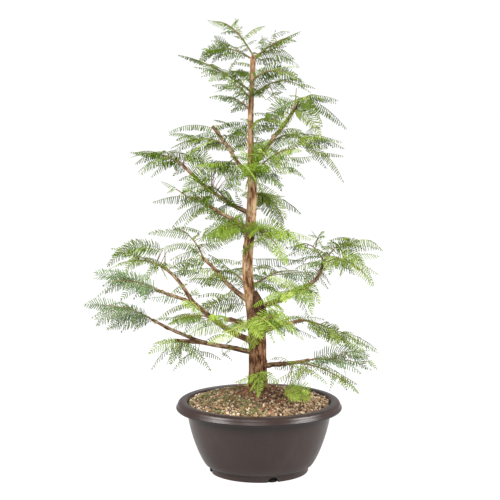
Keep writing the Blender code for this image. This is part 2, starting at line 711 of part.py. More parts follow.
# ---------------------------------------------------------------- the whole plant
def main():
    for thing in list(bpy.data.objects):
        bpy.data.objects.remove(thing, do_unlink=True)
    tree = Tree()
    tree.take_room(make_pot(make_material("pot", COLOURS["pot"], 0.45)))
    tree.take_room(make_soil(make_material("soil", COLOURS["soil"], 0.95)))
    make_trunk(tree, make_material("trunk", COLOURS["bark"], 0.85))
    for number, row in enumerate(BOUGHS):
        make_bough(tree, row, number, make_material(row[0], COLOURS["bark"], 0.85))
    for row in MASSES:
        make_mass(tree, row, make_material(row[0], COLOURS[row[-1]], 0.6))


main()
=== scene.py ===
import json
import math
import random
from collections import namedtuple

import bmesh
import bpy
import numpy as np
from mathutils import Matrix, Vector, noise
from mathutils.bvhtree import BVHTree

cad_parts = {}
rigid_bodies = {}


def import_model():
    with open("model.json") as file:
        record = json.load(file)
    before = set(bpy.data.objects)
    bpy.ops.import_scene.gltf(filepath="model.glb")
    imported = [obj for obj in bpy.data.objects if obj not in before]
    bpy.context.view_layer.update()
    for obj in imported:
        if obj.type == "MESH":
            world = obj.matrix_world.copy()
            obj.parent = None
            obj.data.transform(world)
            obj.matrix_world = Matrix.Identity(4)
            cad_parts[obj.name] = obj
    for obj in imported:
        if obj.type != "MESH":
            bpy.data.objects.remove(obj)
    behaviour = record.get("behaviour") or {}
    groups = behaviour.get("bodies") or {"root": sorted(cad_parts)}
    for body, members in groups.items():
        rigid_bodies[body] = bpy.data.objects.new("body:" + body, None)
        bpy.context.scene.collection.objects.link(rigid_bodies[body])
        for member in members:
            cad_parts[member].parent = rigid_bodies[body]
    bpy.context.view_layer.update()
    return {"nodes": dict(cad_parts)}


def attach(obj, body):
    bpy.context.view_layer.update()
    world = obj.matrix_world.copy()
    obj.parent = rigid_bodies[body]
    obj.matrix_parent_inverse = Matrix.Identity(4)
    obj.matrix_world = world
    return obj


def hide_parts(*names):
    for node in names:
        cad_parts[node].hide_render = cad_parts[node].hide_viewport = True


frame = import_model()
up = Vector((0, 0, 1))
fullTurn = 6.28                     # for random turns
millimetre = 0.001
noise.seed_set(1)


# shader sums, and one method for every other node
class Term:
    # an output that can stand in a Python sum, where each sum adds a Math node

    def __init__(self, finish, socket):
        self.finish = finish
        self.socket = socket

    def sum(self, operation, first, second):
        return self.finish.node("ShaderNodeMath", {"operation": operation},
                                {0: first, 1: second})

    def __add__(self, other):
        return self.sum("ADD", self, other)

    def __radd__(self, other):
        return self.sum("ADD", other, self)

    def __sub__(self, other):
        return self.sum("SUBTRACT", self, other)

    def __rsub__(self, other):
        return self.sum("SUBTRACT", other, self)

    def __mul__(self, other):
        return self.sum("MULTIPLY", self, other)

    def __rmul__(self, other):
        return self.sum("MULTIPLY", other, self)


class Finish:
    # one material, built round its Principled shader

    def __init__(self, name, fixed):
        self.material = bpy.data.materials.new(name)
        self.material.use_nodes = True
        self.tree = self.material.node_tree
        self.shader = self.tree.nodes["Principled BSDF"]
        self.put(self.shader, fixed)

    def put(self, node, inputs):
        for socket, value in inputs.items():
            if isinstance(value, Term):
                self.tree.links.new(value.socket, node.inputs[socket])
            elif isinstance(value, tuple) and len(value) == 3 and node.inputs[socket].type == "RGBA":
                node.inputs[socket].default_value = (*value, 1)
            else:
                node.inputs[socket].default_value = value

    def node(self, kind, settings=None, inputs=None, output=0):
        made = self.tree.nodes.new(kind)
        for key, value in (settings or {}).items():
            if key == "stops":
                self.setStops(made.color_ramp, value)
            else:
                setattr(made, key, value)
        self.put(made, inputs or {})
        return Term(self, made.outputs[output])

    def setStops(self, ramp, stops):
        while len(ramp.elements) > len(stops):
            ramp.elements.remove(ramp.elements[-1])
        while len(ramp.elements) < len(stops):
            ramp.elements.new(1)
        for element, (place, colour) in zip(ramp.elements, stops):
            element.position = place
            element.color = (*colour, 1)

    def place(self):
        return self.node("ShaderNodeTexCoord", output="Object")

    def stretched(self, place, scale):
        return self.node("ShaderNodeMapping", None, {"Vector": place, "Scale": scale})

    def noise(self, place, scale, detail=3, roughness=0.5):
        return self.node("ShaderNodeTexNoise", None, {
            "Vector": place, "Scale": scale, "Detail": detail, "Roughness": roughness})

    def ramp(self, value, stops):
        return self.node("ShaderNodeValToRGB", {"stops": stops}, {"Fac": value})

    def between(self, value, low, high, outLow=0.0, outHigh=1.0):
        return self.node("ShaderNodeMapRange", {"clamp": True}, {
            "Value": value, "From Min": low, "From Max": high,
            "To Min": outLow, "To Max": outHigh})

    def mixed(self, share, first, second, blend="MIX"):
        return self.node("ShaderNodeMix", {"data_type": "RGBA", "blend_type": blend},
                         {"Factor": share, 6: first, 7: second}, output=2)

    def bump(self, height, strength, distance):
        return self.node("ShaderNodeBump", None, {
            "Height": height, "Strength": strength, "Distance": distance})

    def wear(self, piece):
        piece.data.materials.append(self.material)


def tinted(name, tints, roughness):
    # a plain finish for every tint
    return [Finish("%s%d" % (name, number), {"Base Color": tint, "Roughness": roughness})
            for number, tint in enumerate(tints)]


def linked(name, mesh):
    piece = bpy.data.objects.new(name, mesh)
    bpy.context.scene.collection.objects.link(piece)
    return piece


def pieceFrom(name, bm, smooth=True):
    mesh = bpy.data.meshes.new(name)
    bm.to_mesh(mesh)
    bm.free()
    if smooth:
        mesh.shade_smooth()
    return linked(name, mesh)


def settle(piece, slot, *nodes):
    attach(piece, "root")
    if nodes:
        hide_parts(*nodes)


# stage, light and camera
stage = {
    "floorSize": 60.0,
    "floorColour": (0.60, 0.60, 0.60),
    "floorGlow": 1.15,
    "floorShare": 0.86,             # of the glow in what the camera sees
    "surround": 1.06,               # what the camera sees
    "ambient": 0.46,                # what it gives as light
    "aim": (0, 0, 0.4),             # of every light
    "lights": {
        # place, size, power
        "left": ((-2.4, -1.2, 1.9), 1.7, 108.0),
        "right": ((2.5, -0.9, 1.7), 1.7, 108.0),
        "front": ((-0.5, -2.4, 2.2), 1.2, 29.0),
        "back": ((0.4, 1.9, 2.4), 2.0, 26.0),
    },
}
cameraView = {
    "place": (-0.0163, -2.600, 0.717),
    "pitch": 0.120,                 # radians below the horizon
    "lens": 105.3,
    "sensor": 36,
    "farthest": 50,
}


def areaLight(name, place, size, power, target):
    data = bpy.data.lights.new(name, "AREA")
    data.shape = "DISK"
    data.size = size
    data.energy = power
    light = bpy.data.objects.new(name, data)
    bpy.context.scene.collection.objects.link(light)
    light.location = place
    light.rotation_euler = (Vector(target) - Vector(place)).to_track_quat("-Z", "Y").to_euler()


def makeStage():
    bm = bmesh.new()
    bmesh.ops.create_grid(bm, x_segments=1, y_segments=1, size=stage["floorSize"] / 2)
    floor = pieceFrom("studioFloor", bm, smooth=False)
    paint = Finish("floorPaint", {"Base Color": stage["floorColour"], "Roughness": 0.9})
    glow = paint.node("ShaderNodeEmission", None, {"Color": (1.0, 1.0, 1.0),
                                                   "Strength": stage["floorGlow"]})
    rays = paint.node("ShaderNodeLightPath")
    mixed = paint.node("ShaderNodeMixShader", None, {
        0: rays * stage["floorShare"], 1: Term(paint, paint.shader.outputs[0]), 2: glow})
    paint.tree.links.new(mixed.socket, paint.tree.nodes["Material Output"].inputs["Surface"])
    paint.wear(floor)

    world = bpy.data.worlds.new("studio")
    bpy.context.scene.world = world
    world.use_nodes = True
    tree = world.node_tree
    light = tree.nodes["Background"]
    light.inputs["Color"].default_value = (1, 1, 1, 1)
    light.inputs["Strength"].default_value = stage["ambient"]
    backdrop = tree.nodes.new("ShaderNodeBackground")
    backdrop.inputs["Color"].default_value = (1, 1, 1, 1)
    backdrop.inputs["Strength"].default_value = stage["surround"]
    choice = tree.nodes.new("ShaderNodeMixShader")
    rays = tree.nodes.new("ShaderNodeLightPath")
    tree.links.new(rays.outputs["Is Camera Ray"], choice.inputs[0])
    tree.links.new(light.outputs[0], choice.inputs[1])
    tree.links.new(backdrop.outputs[0], choice.inputs[2])
    tree.links.new(choice.outputs[0], tree.nodes["World Output"].inputs["Surface"])

    for name, (place, size, power) in stage["lights"].items():
        areaLight(name + "Light", place, size, power, stage["aim"])

    data = bpy.data.cameras.new("studioCamera")
    data.sensor_width = cameraView["sensor"]
    data.lens = cameraView["lens"]
    data.clip_end = cameraView["farthest"]
    camera = bpy.data.objects.new("studioCamera", data)
    bpy.context.scene.collection.objects.link(camera)
    camera.location = cameraView["place"]
    camera.rotation_euler = (math.pi / 2 - cameraView["pitch"], 0, 0)
    bpy.context.scene.camera = camera
    bpy.context.scene.view_settings.view_transform = "Standard"
    print("stage, light and camera made")


# pot
pot = {
    "segments": 160,
    # radius and height, from the middle of the underside up the outer side
    "foot": ((0, 0), (0.0875, 0), (0.0890, 0.0006), (0.0897, 0.0020), (0.0897, 0.0108),
             (0.0904, 0.0121), (0.0925, 0.0127)),
    "bowl": ((0.0950, 0.0135), (0.0977, 0.0151), (0.1000, 0.0180), (0.1052, 0.0270),
             (0.1104, 0.0380), (0.1152, 0.0500), (0.1194, 0.0620), (0.1230, 0.0740),
             (0.1258, 0.0850), (0.1280, 0.0950), (0.1298, 0.1070), (0.1310, 0.1175)),
    "rim": ((0.1318, 0.1185), (0.1448, 0.1185), (0.1460, 0.1180), (0.1466, 0.1160),
            (0.1474, 0.1152), (0.1490, 0.1152), (0.1499, 0.1160), (0.1503, 0.1176),
            (0.1500, 0.1192), (0.1489, 0.1203), (0.1480, 0.1218), (0.1475, 0.1242),
            (0.1464, 0.1266), (0.1447, 0.1285), (0.1424, 0.1299), (0.1397, 0.1306),
            (0.1366, 0.1308), (0.1336, 0.1305), (0.1315, 0.1298), (0.1304, 0.1284)),
    "inside": ((0.1256, 0.1020), (0.1118, 0.0500), (0.0880, 0.0100), (0, 0.0100)),
    "drains": 4,
    "firstDrain": math.radians(-74),
    "drainRadius": 0.0100,
    "drainHeight": 0.0096,
    "drainDepth": 0.0200,
    "drainPlace": (0.0897, 0, -0.0004),
    "sharpTurn": math.radians(35),
    "colour": (0.0325, 0.0180, 0.0148),
    "worn": (0.054, 0.035, 0.029),
    "dust": (0.082, 0.060, 0.048),
    # near-black, for painted shade in the drains and below the rim
    "drainShade": (0.006, 0.005, 0.004),
    "cloud": (14, 4),               # scale, detail and roughness of its noises
    "speck": (420, 2),
    "streak": (1, 4, 0.6),
    "streakStretch": (60, 60, 7),
    "dustFade": (0.004, 0.030, 0.55, 0.0),
    "scuffFade": (0.52, 0.66),
    "scuffed": 0.45,
    "lipShade": (0.0990, 0.1150),   # painted shade below the rim, between these heights and up to it
    "lipEnd": (0.1182, 0.1186, 1, 0),
    "lipDark": 0.85,
    "roughness": 0.25,
    "bump": (0.22, 0.0005),
    "plugSize": (0.0090, 0.0097, 0.0090),
    "plugPlace": (0.0790, 0, 0.0001),
    "plugRough": (0.08, 4),         # how far it is pushed about, and how finely
}


def spun(profile, segments):
    bm = bmesh.new()
    ring = [bm.verts.new((radius, 0, height)) for radius, height in profile]
    edges = [bm.edges.new(pair) for pair in zip(ring, ring[1:])]
    bmesh.ops.spin(bm, geom=ring + edges, axis=up, cent=(0, 0, 0), angle=2 * math.pi,
                   steps=segments, use_merge=True)
    bmesh.ops.remove_doubles(bm, verts=bm.verts, dist=0.00001)
    bmesh.ops.recalc_face_normals(bm, faces=bm.faces)
    return bm


def plasticFinish():
    finish = Finish("pottingPlastic", {"Specular IOR Level": 0.40})
    place = finish.place()
    cloud = finish.noise(place, *pot["cloud"])
    speck = finish.noise(place, *pot["speck"])
    streak = finish.noise(finish.stretched(place, pot["streakStretch"]), *pot["streak"])
    height = finish.node("ShaderNodeSeparateXYZ", None, {"Vector": place}, output=2)
    low = finish.between(height, *pot["dustFade"])
    scuff = finish.between(cloud * 0.6 + streak * 0.4, *pot["scuffFade"])
    colour = finish.mixed(scuff * pot["scuffed"], pot["colour"], pot["worn"])
    colour = finish.mixed(low * cloud, colour, pot["dust"])
    # painted shade: below the rim the plastic's colour is darkened towards the near-black shade
    # colour
    under = finish.between(height, *pot["lipShade"]) * finish.between(height, *pot["lipEnd"])
    colour = finish.mixed(under * pot["lipDark"], colour, pot["drainShade"])
    rough = pot["roughness"] + scuff * 0.12 + speck * 0.08
    normal = finish.bump(speck * 0.6 + cloud * 0.8, *pot["bump"])
    finish.put(finish.shader, {"Base Color": colour, "Roughness": rough, "Normal": normal})
    return finish


def makePot():
    bm = spun(pot["foot"] + pot["bowl"] + pot["rim"] + pot["inside"], pot["segments"])
    shell = pieceFrom("potShell", bm)
    shade = Finish("drainShade", {"Base Color": pot["drainShade"], "Roughness": 0.95})
    plasticFinish().wear(shell)
    shade.wear(shell)
    turns = [pot["firstDrain"] + number * 2 * math.pi / pot["drains"]
             for number in range(pot["drains"])]
    for turn in turns:
        bm = bmesh.new()
        bmesh.ops.create_cone(bm, cap_ends=True, segments=32, radius1=pot["drainRadius"],
                              radius2=pot["drainRadius"], depth=2 * pot["drainDepth"])
        bmesh.ops.rotate(bm, matrix=Matrix.Rotation(math.pi / 2, 3, "Y"), verts=bm.verts)
        bmesh.ops.scale(bm, vec=(1, 1, pot["drainHeight"] / pot["drainRadius"]), verts=bm.verts)
        bmesh.ops.translate(bm, vec=pot["drainPlace"], verts=bm.verts)
        bmesh.ops.rotate(bm, matrix=Matrix.Rotation(turn, 3, "Z"), verts=bm.verts)
        cutter = pieceFrom("drainCutter", bm)
        # the cut faces take this near-black finish: painted shade inside the drains
        shade.wear(cutter)
        cut = shell.modifiers.new("drain", "BOOLEAN")
        cut.operation = "DIFFERENCE"
        cut.object = cutter
        cut.material_mode = "TRANSFER"
        bake(shell)
        bpy.data.objects.remove(cutter)
    shell.data.set_sharp_from_angle(angle=pot["sharpTurn"])
    settle(shell, "pot", "pot")

    # lumps in the drains, shaped like washed-in soil and roots, coloured near-black as painted shade
    # so the notches look dark
    bm = bmesh.new()
    push, fineness = pot["plugRough"]
    for turn in turns:
        plug = bmesh.ops.create_icosphere(bm, subdivisions=3, radius=1)["verts"]
        for vert in plug:
            vert.co += push * noise.noise_vector(vert.co * fineness)
            vert.co.z = max(vert.co.z, 0.0)
        bmesh.ops.scale(bm, vec=pot["plugSize"], verts=plug)
        bmesh.ops.translate(bm, vec=pot["plugPlace"], verts=plug)
        bmesh.ops.rotate(bm, matrix=Matrix.Rotation(turn, 3, "Z"), verts=plug)
    plugs = pieceFrom("drainPlugs", bm)
    shade.wear(plugs)
    settle(plugs, "soil")
    print("pot", len(shell.data.polygons), "faces")


def bake(piece):
    # puts a piece's modifiers into its mesh
    graph = bpy.context.evaluated_depsgraph_get()
    mesh = bpy.data.meshes.new_from_object(piece.evaluated_get(graph))
    piece.modifiers.clear()
    old = piece.data
    piece.data = mesh
    bpy.data.meshes.remove(old)


# copies of one small pattern, joined into one mesh from arrays
class Pattern:
    # a small closed shape as arrays, its faces split into triangles

    def __init__(self, bm):
        bmesh.ops.triangulate(bm, faces=bm.faces)
        bm.verts.index_update()
        self.verts = np.array([vert.co for vert in bm.verts])
        self.faces = np.array([[vert.index for vert in face.verts] for face in bm.faces])
        self.marks = np.array([face.material_index for face in bm.faces])
        bm.free()


class Heap:
    # many copies of patterns, each with its own matrix and colour, gathered for one mesh

    def __init__(self):
        self.verts = []
        self.faces = []
        self.colours = []
        self.count = 0

    def add(self, pattern, axes, places, colours):
        # axes: copies x 3 x 3, whose rows are the pattern's x, y and z; colours: one a copy
        copies = len(places)
        verts = np.einsum("vk,nkc->nvc", pattern.verts, axes) + places[:, None, :]
        first = self.count + np.arange(copies) * len(pattern.verts)
        faces = pattern.faces[None] + first[:, None, None]
        self.verts.append(verts.reshape(-1, 3))
        self.faces.append(faces.reshape(-1, 3))
        self.colours.append((colours[:, None] + pattern.marks[None]).reshape(-1))
        self.count += copies * len(pattern.verts)

    def piece(self, name, finishes, smooth=True):
        verts = np.concatenate(self.verts)
        faces = np.concatenate(self.faces)
        mesh = bpy.data.meshes.new(name)
        mesh.vertices.add(len(verts))
        mesh.vertices.foreach_set("co", verts.astype(np.float32).ravel())
        mesh.loops.add(3 * len(faces))
        mesh.loops.foreach_set("vertex_index", faces.astype(np.int32).ravel())
        mesh.polygons.add(len(faces))
        mesh.polygons.foreach_set("loop_start", np.arange(0, 3 * len(faces), 3, dtype=np.int32))
        for finish in finishes:
            mesh.materials.append(finish.material)
        mesh.polygons.foreach_set("material_index",
                                  np.concatenate(self.colours).astype(np.int32))
        mesh.update(calc_edges=True)
        mesh.validate()
        if smooth:
            mesh.shade_smooth()
        return linked(name, mesh)


# soil, its grains, litter and moss
soil = {
    "mouthRadius": 0.1290,          # at the height of the soil's edge
    "profile": ((0.0, 0.1500), (0.027, 0.1500), (0.060, 0.1430), (0.098, 0.1310),
                (0.1293, 0.1245)),  # radius and height of the mound
    "grains": 7400,
    "goldenTurn": 2.39996,          # radians between one grain and the next
    "turnJitter": 0.03,
    "radiusJitter": 0.0012,
    "grainSize": (0.0025, 0.0056),
    "grainStretch": ((0.9, 1.25), (0.7, 1.05), (0.6, 0.95)),
    "grainSink": (-0.45, 0.38),     # of its size
    "patterns": 6,
    "patternBall": (0.56, 0.34, 1.9),   # radius, how far it is pushed about, how finely
    "grainSwell": (0.8, 0.5, 4),    # least size, how much more, and how seldom that is
    "edgeRoom": 0.4,                # of a grain's size, from the pot
    "trunkPlace": -0.002,
    "trunkRadius": 0.019,
    "tints": ((0.46, 0.33, 0.20), (0.36, 0.235, 0.125), (0.25, 0.16, 0.088), (0.62, 0.49, 0.34),
              (0.34, 0.17, 0.070), (0.15, 0.090, 0.048), (0.075, 0.044, 0.025),
              (0.035, 0.024, 0.017), (0.17, 0.165, 0.055), (0.24, 0.085, 0.040)),
    "shares": (18, 16, 12, 12, 8, 12, 12, 8, 2, 3),
    "mossTint": 8,
    "mossPatches": (26, 0.05),      # how fine they are, and the noise above which they start
    "mossTo": 0.01,                 # in X
    "redMiddle": (0.01, -0.02),     # of the patch that fallen needles have stained
    "redReach": 0.050,
    "redTints": (9, 9, 5, 6),
    "patchShare": 0.45,
    "bed": ((0.35, (0.050, 0.034, 0.022)), (0.7, (0.16, 0.10, 0.06))),
    "bedNoise": (260, 3),
    "bedBump": (0.8, 0.002),
}


def moundHeight(radius):
    rows = soil["profile"]
    return float(np.interp(radius, [row[0] for row in rows], [row[1] for row in rows]))


def roughGrain(seed):
    # a small ball pushed about until it has corners
    bm = bmesh.new()
    radius, push, fineness = soil["patternBall"]
    bmesh.ops.create_icosphere(bm, subdivisions=1, radius=radius)
    apart = Vector((seed * 7.3, seed, 0))
    for vert in bm.verts:
        vert.co += push * noise.noise_vector(vert.co * fineness + apart)
    return Pattern(bm)


def turnedAxes(rng, sizes):
    # random turns with a size along each axis
    axes = []
    for size in sizes:
        turn = Matrix.Rotation(rng.uniform(0, fullTurn), 3, "Z")
        spin = turn @ Matrix.Rotation(rng.uniform(0, fullTurn), 3, "X")
        axes.append([[c * s for c in row] for row, s in zip(spin.transposed(), size)])
    return np.array(axes)


def finishBed():
    # the solid soil under the grains
    node = frame["nodes"]["soil"]
    finish = Finish("soilBed", {"Roughness": 0.95})
    tone = finish.noise(finish.place(), *soil["bedNoise"])
    finish.put(finish.shader, {"Base Color": finish.ramp(tone, soil["bed"]),
                               "Normal": finish.bump(tone, *soil["bedBump"])})
    node.data.materials.clear()
    finish.wear(node)


def grainTint(rng, x, y):
    # mossy green on one side of the trunk, red-brown where needles have fallen
    tint = rng.choices(range(len(soil["tints"])), soil["shares"])[0]
    fineness, threshold = soil["mossPatches"]
    mossy = noise.noise(Vector((x, y, 0)) * fineness) > threshold and x < soil["mossTo"]
    if mossy and rng.random() < soil["patchShare"]:
        tint = soil["mossTint"]
    redX, redY = soil["redMiddle"]
    red = math.hypot(x - redX, y - redY) < soil["redReach"]
    if red and rng.random() < soil["patchShare"]:
        tint = rng.choice(soil["redTints"])
    return tint


def makeSoil():
    finishBed()
    rng = random.Random("soil")
    patterns = [roughGrain(seed) for seed in range(soil["patterns"])]
    finishes = tinted("grain", soil["tints"], 0.85)
    heap = Heap()
    batches = {number: [] for number in range(len(patterns))}
    least, more, seldom = soil["grainSwell"]
    for number in range(soil["grains"]):
        # a sunflower spread keeps the grains even, and the jitter hides it
        radius = soil["mouthRadius"] * math.sqrt((number + 0.5) / soil["grains"])
        turn = number * soil["goldenTurn"] + rng.uniform(-soil["turnJitter"], soil["turnJitter"])
        radius += rng.uniform(-soil["radiusJitter"], soil["radiusJitter"])
        size = rng.uniform(*soil["grainSize"]) * (least + more * rng.random() ** seldom)
        x, y = radius * math.cos(turn), radius * math.sin(turn)
        if radius > soil["mouthRadius"] - soil["edgeRoom"] * size:
            continue
        if math.hypot(x - soil["trunkPlace"], y) < soil["trunkRadius"]:
            continue
        sink = rng.uniform(*soil["grainSink"]) * size
        stretch = [size * rng.uniform(*span) for span in soil["grainStretch"]]
        tint = grainTint(rng, x, y)
        batches[rng.randrange(len(patterns))].append(
            ((x, y, moundHeight(radius) + sink), stretch, tint))
    for number, batch in batches.items():
        heap.add(patterns[number], turnedAxes(rng, [row[1] for row in batch]),
                 np.array([row[0] for row in batch]), np.array([row[2] for row in batch]))
    grains = heap.piece("soilGrains", finishes, smooth=False)
    settle(grains, "soil")
    print("soil", len(grains.data.polygons), "faces of grain")


litter = {
    "needles": 420,                 # dead red-brown needles round the trunk's foot
    "needleLength": (0.005, 0.014),
    "needleWidth": (0.0008, 0.0014),
    "needleTilt": (-0.25, 0.3),
    "needleRing": (0.020, 0.060, 1.7),  # nearest, how far on from there, how they thin out
    "needleLift": (0.0018, 0.0034),
    "tints": ((0.20, 0.065, 0.030), (0.27, 0.11, 0.045), (0.12, 0.05, 0.028)),
    "bark": 46,                     # chips of bark
    "barkSize": (0.004, 0.009),
    "barkSeed": 11,
    "barkShape": (1, 0.45, 0.22),
    "barkRing": (0.022, 0.030, 1.4),
    "barkLift": 0.0016,
    "barkTints": (0, 2),
    "mossTufts": ((-0.088, -0.040, 0.030), (-0.066, 0.052, 0.034), (-0.098, 0.006, 0.022),
                  (-0.052, -0.050, 0.024), (-0.036, 0.010, 0.022), (0.020, 0.090, 0.026)),
    "mossBlades": 260,              # in a tuft
    "mossInner": 0.6,               # how far a blade may be drawn in to the middle
    "mossLength": (0.0020, 0.0040),
    "mossWidth": (0.0006, 0.0010),
    "mossTilt": (0.1, 1.4),
    "mossThick": 0.0022,
    "mossLift": 0.0010,
    "mossGap": 0.003,               # from the pot
    "mossTints": ((0.125, 0.150, 0.035), (0.180, 0.205, 0.055), (0.085, 0.095, 0.028)),
}


def sliver():
    # a thin three-sided splinter along X
    bm = bmesh.new()
    for place in ((0, 0, 0), (0.45, 0.5, 0), (0.45, -0.5, 0), (0.45, 0, 0.5), (1, 0, 0)):
        bm.verts.new(place)
    bmesh.ops.convex_hull(bm, input=bm.verts)
    return Pattern(bm)


def flatAxes(rng, lengths, widths, tilt):
    # rows for slivers that lie within a tilt of level
    axes = []
    for length, width in zip(lengths, widths):
        turn, rise = rng.uniform(0, fullTurn), rng.uniform(*tilt)
        along = Vector((math.cos(turn) * math.cos(rise), math.sin(turn) * math.cos(rise),
                        math.sin(rise)))
        across = up.cross(along)
        across = across.normalized() if across.length > 0.01 else Vector((1, 0, 0))
        above = along.cross(across)
        axes.append([along * length, across * width, above * width])
    return np.array(axes)


def placeRound(rng, ring):
    # a random place round the trunk: distance from the middle, X, Y
    nearest, reach, power = ring
    radius = nearest + reach * rng.random() ** power
    turn = rng.uniform(0, fullTurn)
    return radius, radius * math.cos(turn), radius * math.sin(turn)


def dropNeedles(rng, heap):
    places, lengths, tints = [], [], []
    for number in range(litter["needles"]):
        radius, x, y = placeRound(rng, litter["needleRing"])
        lift = rng.uniform(*litter["needleLift"])
        places.append((x + soil["trunkPlace"], y, moundHeight(radius) + lift))
        lengths.append(rng.uniform(*litter["needleLength"]))
        tints.append(rng.randrange(len(litter["tints"])))
    widths = [rng.uniform(*litter["needleWidth"]) for length in lengths]
    axes = flatAxes(rng, lengths, widths, litter["needleTilt"])
    heap.add(sliver(), axes, np.array(places), np.array(tints))


def dropBark(rng, heap):
    places, sizes, tints = [], [], []
    for number in range(litter["bark"]):
        radius, x, y = placeRound(rng, litter["barkRing"])
        size = rng.uniform(*litter["barkSize"])
        places.append((x, y, moundHeight(radius) + litter["barkLift"]))
        sizes.append([side * size for side in litter["barkShape"]])
        tints.append(rng.choice(litter["barkTints"]))
    heap.add(roughGrain(litter["barkSeed"]), turnedAxes(rng, sizes), np.array(places),
             np.array(tints))


def growTuft(rng, heap, x, y, reach):
    # a cushion of moss, thickest in its middle
    places, lengths, tints = [], [], []
    for number in range(litter["mossBlades"]):
        radius = reach * math.sqrt(rng.random()) * rng.uniform(litter["mossInner"], 1)
        turn = rng.uniform(0, fullTurn)
        px, py = x + radius * math.cos(turn), y + radius * math.sin(turn)
        if math.hypot(px, py) > soil["mouthRadius"] - litter["mossGap"]:
            continue
        thick = litter["mossThick"] * (1 - radius / reach)
        ground = moundHeight(math.hypot(px, py)) + litter["mossLift"]
        places.append((px, py, ground + thick))
        lengths.append(rng.uniform(*litter["mossLength"]))
        tints.append(rng.randrange(len(litter["mossTints"])))
    widths = [rng.uniform(*litter["mossWidth"]) for length in lengths]
    axes = flatAxes(rng, lengths, widths, litter["mossTilt"])
    heap.add(sliver(), axes, np.array(places), np.array(tints))


def makeLitter():
    rng = random.Random("litter")
    heap = Heap()
    dropNeedles(rng, heap)
    dropBark(rng, heap)
    settle(heap.piece("needleLitter", tinted("deadNeedle", litter["tints"], 0.8)), "soil")
    heap = Heap()
    for x, y, reach in litter["mossTufts"]:
        growTuft(rng, heap, x, y, reach)
    settle(heap.piece("moss", tinted("moss", litter["mossTints"], 0.9)), "soil")
    print("litter and moss made")


# trunk and boughs
trunk = {
    # height, middle in X, middle in Y, radius
    "rows": ((0.1503, -0.0020, 0.000, 0.0220), (0.1570, -0.0020, 0.000, 0.0188),
             (0.1720, -0.0020, 0.000, 0.0168), (0.2050, -0.0025, 0.001, 0.0160),
             (0.2400, -0.0030, 0.002, 0.0160), (0.2720, -0.0060, 0.002, 0.0155),
             (0.2980, -0.0115, 0.001, 0.0122), (0.3250, -0.0165, 0.000, 0.0103),
             (0.3670, -0.0210, -0.001, 0.0098), (0.4220, -0.0180, 0.000, 0.0088),
             (0.4660, -0.0140, 0.002, 0.0090), (0.5110, -0.0120, 0.003, 0.0082),
             (0.5560, -0.0140, 0.002, 0.0065), (0.6000, -0.0150, 0.001, 0.0053),
             (0.6530, -0.0150, 0.000, 0.0052), (0.6880, -0.0130, 0.000, 0.0046),
             (0.7150, -0.0120, 0.000, 0.0045), (0.7400, -0.0110, 0.000, 0.0048),
             (0.7500, -0.0105, 0.000, 0.0030)),
    "stump": ((0.2450, -0.0010, -0.001, 0.0120), (0.2750, 0.0005, -0.002, 0.0142),
              (0.2980, -0.0005, -0.003, 0.0126), (0.3160, -0.0045, -0.004, 0.0088),
              (0.3300, -0.0085, -0.004, 0.0046)),
    "sides": 104,
    "ringStep": 0.0015,
    "groove": 0.0012,               # depth of the cracks between strips of bark
    "stripWidth": 0.0036,
    "stripLength": 0.060,
    "crackWidth": 0.10,
    "flare": 0.10,                  # how far the root ridges stand out at the foot
    "knots": (26, 0.0024),          # how many, and how high
    "stumpKnots": (5, 0.002),
}
boughs = {
    # name, parent, where it leaves (height on the trunk, else share of the parent's length),
    # tip, arch, radius at the root, radius at the tip
    "rows": (
        ("bough_low_left", "trunk", 0.216, (-0.151, -0.020, 0.244), 0.003, 0.0046, 0.0034),
        ("bough_low_left_fork", "bough_low_left", 0.62, (-0.190, -0.035, 0.283), -0.004,
         0.0032, 0.0026),
        ("bough_left", "trunk", 0.232, (-0.123, -0.034, 0.320), -0.009, 0.0058, 0.0042),
        ("bough_left_fork_up", "bough_left", 1.0, (-0.173, 0.010, 0.371), 0.008,
         0.0038, 0.0026),
        ("bough_left_fork_front", "bough_left", 0.86, (-0.178, -0.110, 0.349), 0.002,
         0.0032, 0.0025),
        ("stub_left", "trunk", 0.253, (-0.063, 0.030, 0.273), 0.005, 0.0048, 0.0036),
        ("bough_back_left", "trunk", 0.307, (-0.104, 0.100, 0.376), -0.004, 0.0050, 0.0030),
        ("bough_right", "trunk", 0.300, (0.103, -0.010, 0.351), -0.008, 0.0052, 0.0034),
        ("bough_right_rise", "bough_right", 1.0, (0.120, -0.010, 0.390), 0.001, 0.0032, 0.0026),
        ("bough_back_right", "trunk", 0.254, (0.084, 0.055, 0.267), 0.002, 0.0046, 0.0030),
        ("bough_low_right", "trunk", 0.190, (0.089, -0.030, 0.209), 0.000, 0.0046, 0.0030),
        ("bough_front", "trunk", 0.270, (0.032, -0.078, 0.298), 0.002, 0.0046, 0.0030),
        ("bough_mid_front_left", "trunk", 0.438, (-0.095, -0.080, 0.495), 0.001,
         0.0038, 0.0026),
        ("bough_mid_left", "trunk", 0.468, (-0.139, 0.035, 0.554), -0.010, 0.0040, 0.0026),
        ("stub_mid_left", "trunk", 0.532, (-0.085, 0.070, 0.621), -0.002, 0.0038, 0.0028),
        ("bough_mid_right", "trunk", 0.549, (0.071, -0.018, 0.672), -0.004, 0.0042, 0.0026),
    ),
    "collar": (1.35, 0.014),        # how much thicker a limb is at its root, and how far on
    "sway": 0.018,
    "endShare": 0.985,              # the last share of a limb where another may leave it
    "sides": 26,
    "ringStep": 0.0020,
    "groove": 0.00055,
    "stripWidth": 0.0030,
    "stripLength": 0.020,
    "crackWidth": 0.12,
    "knots": 9,                     # small swellings where twigs once left
    "knotHeight": 0.0015,
    "kink": 0.0013,                 # how far a limb bends aside at each step
    "kinkStep": 0.021,
    "joined": {"bough_left": "bough_left_fork_up", "bough_right": "bough_right_rise"},
    "joinPoints": 40,
    "joinFirst": 0.04,
    "joinRounds": 14,
}
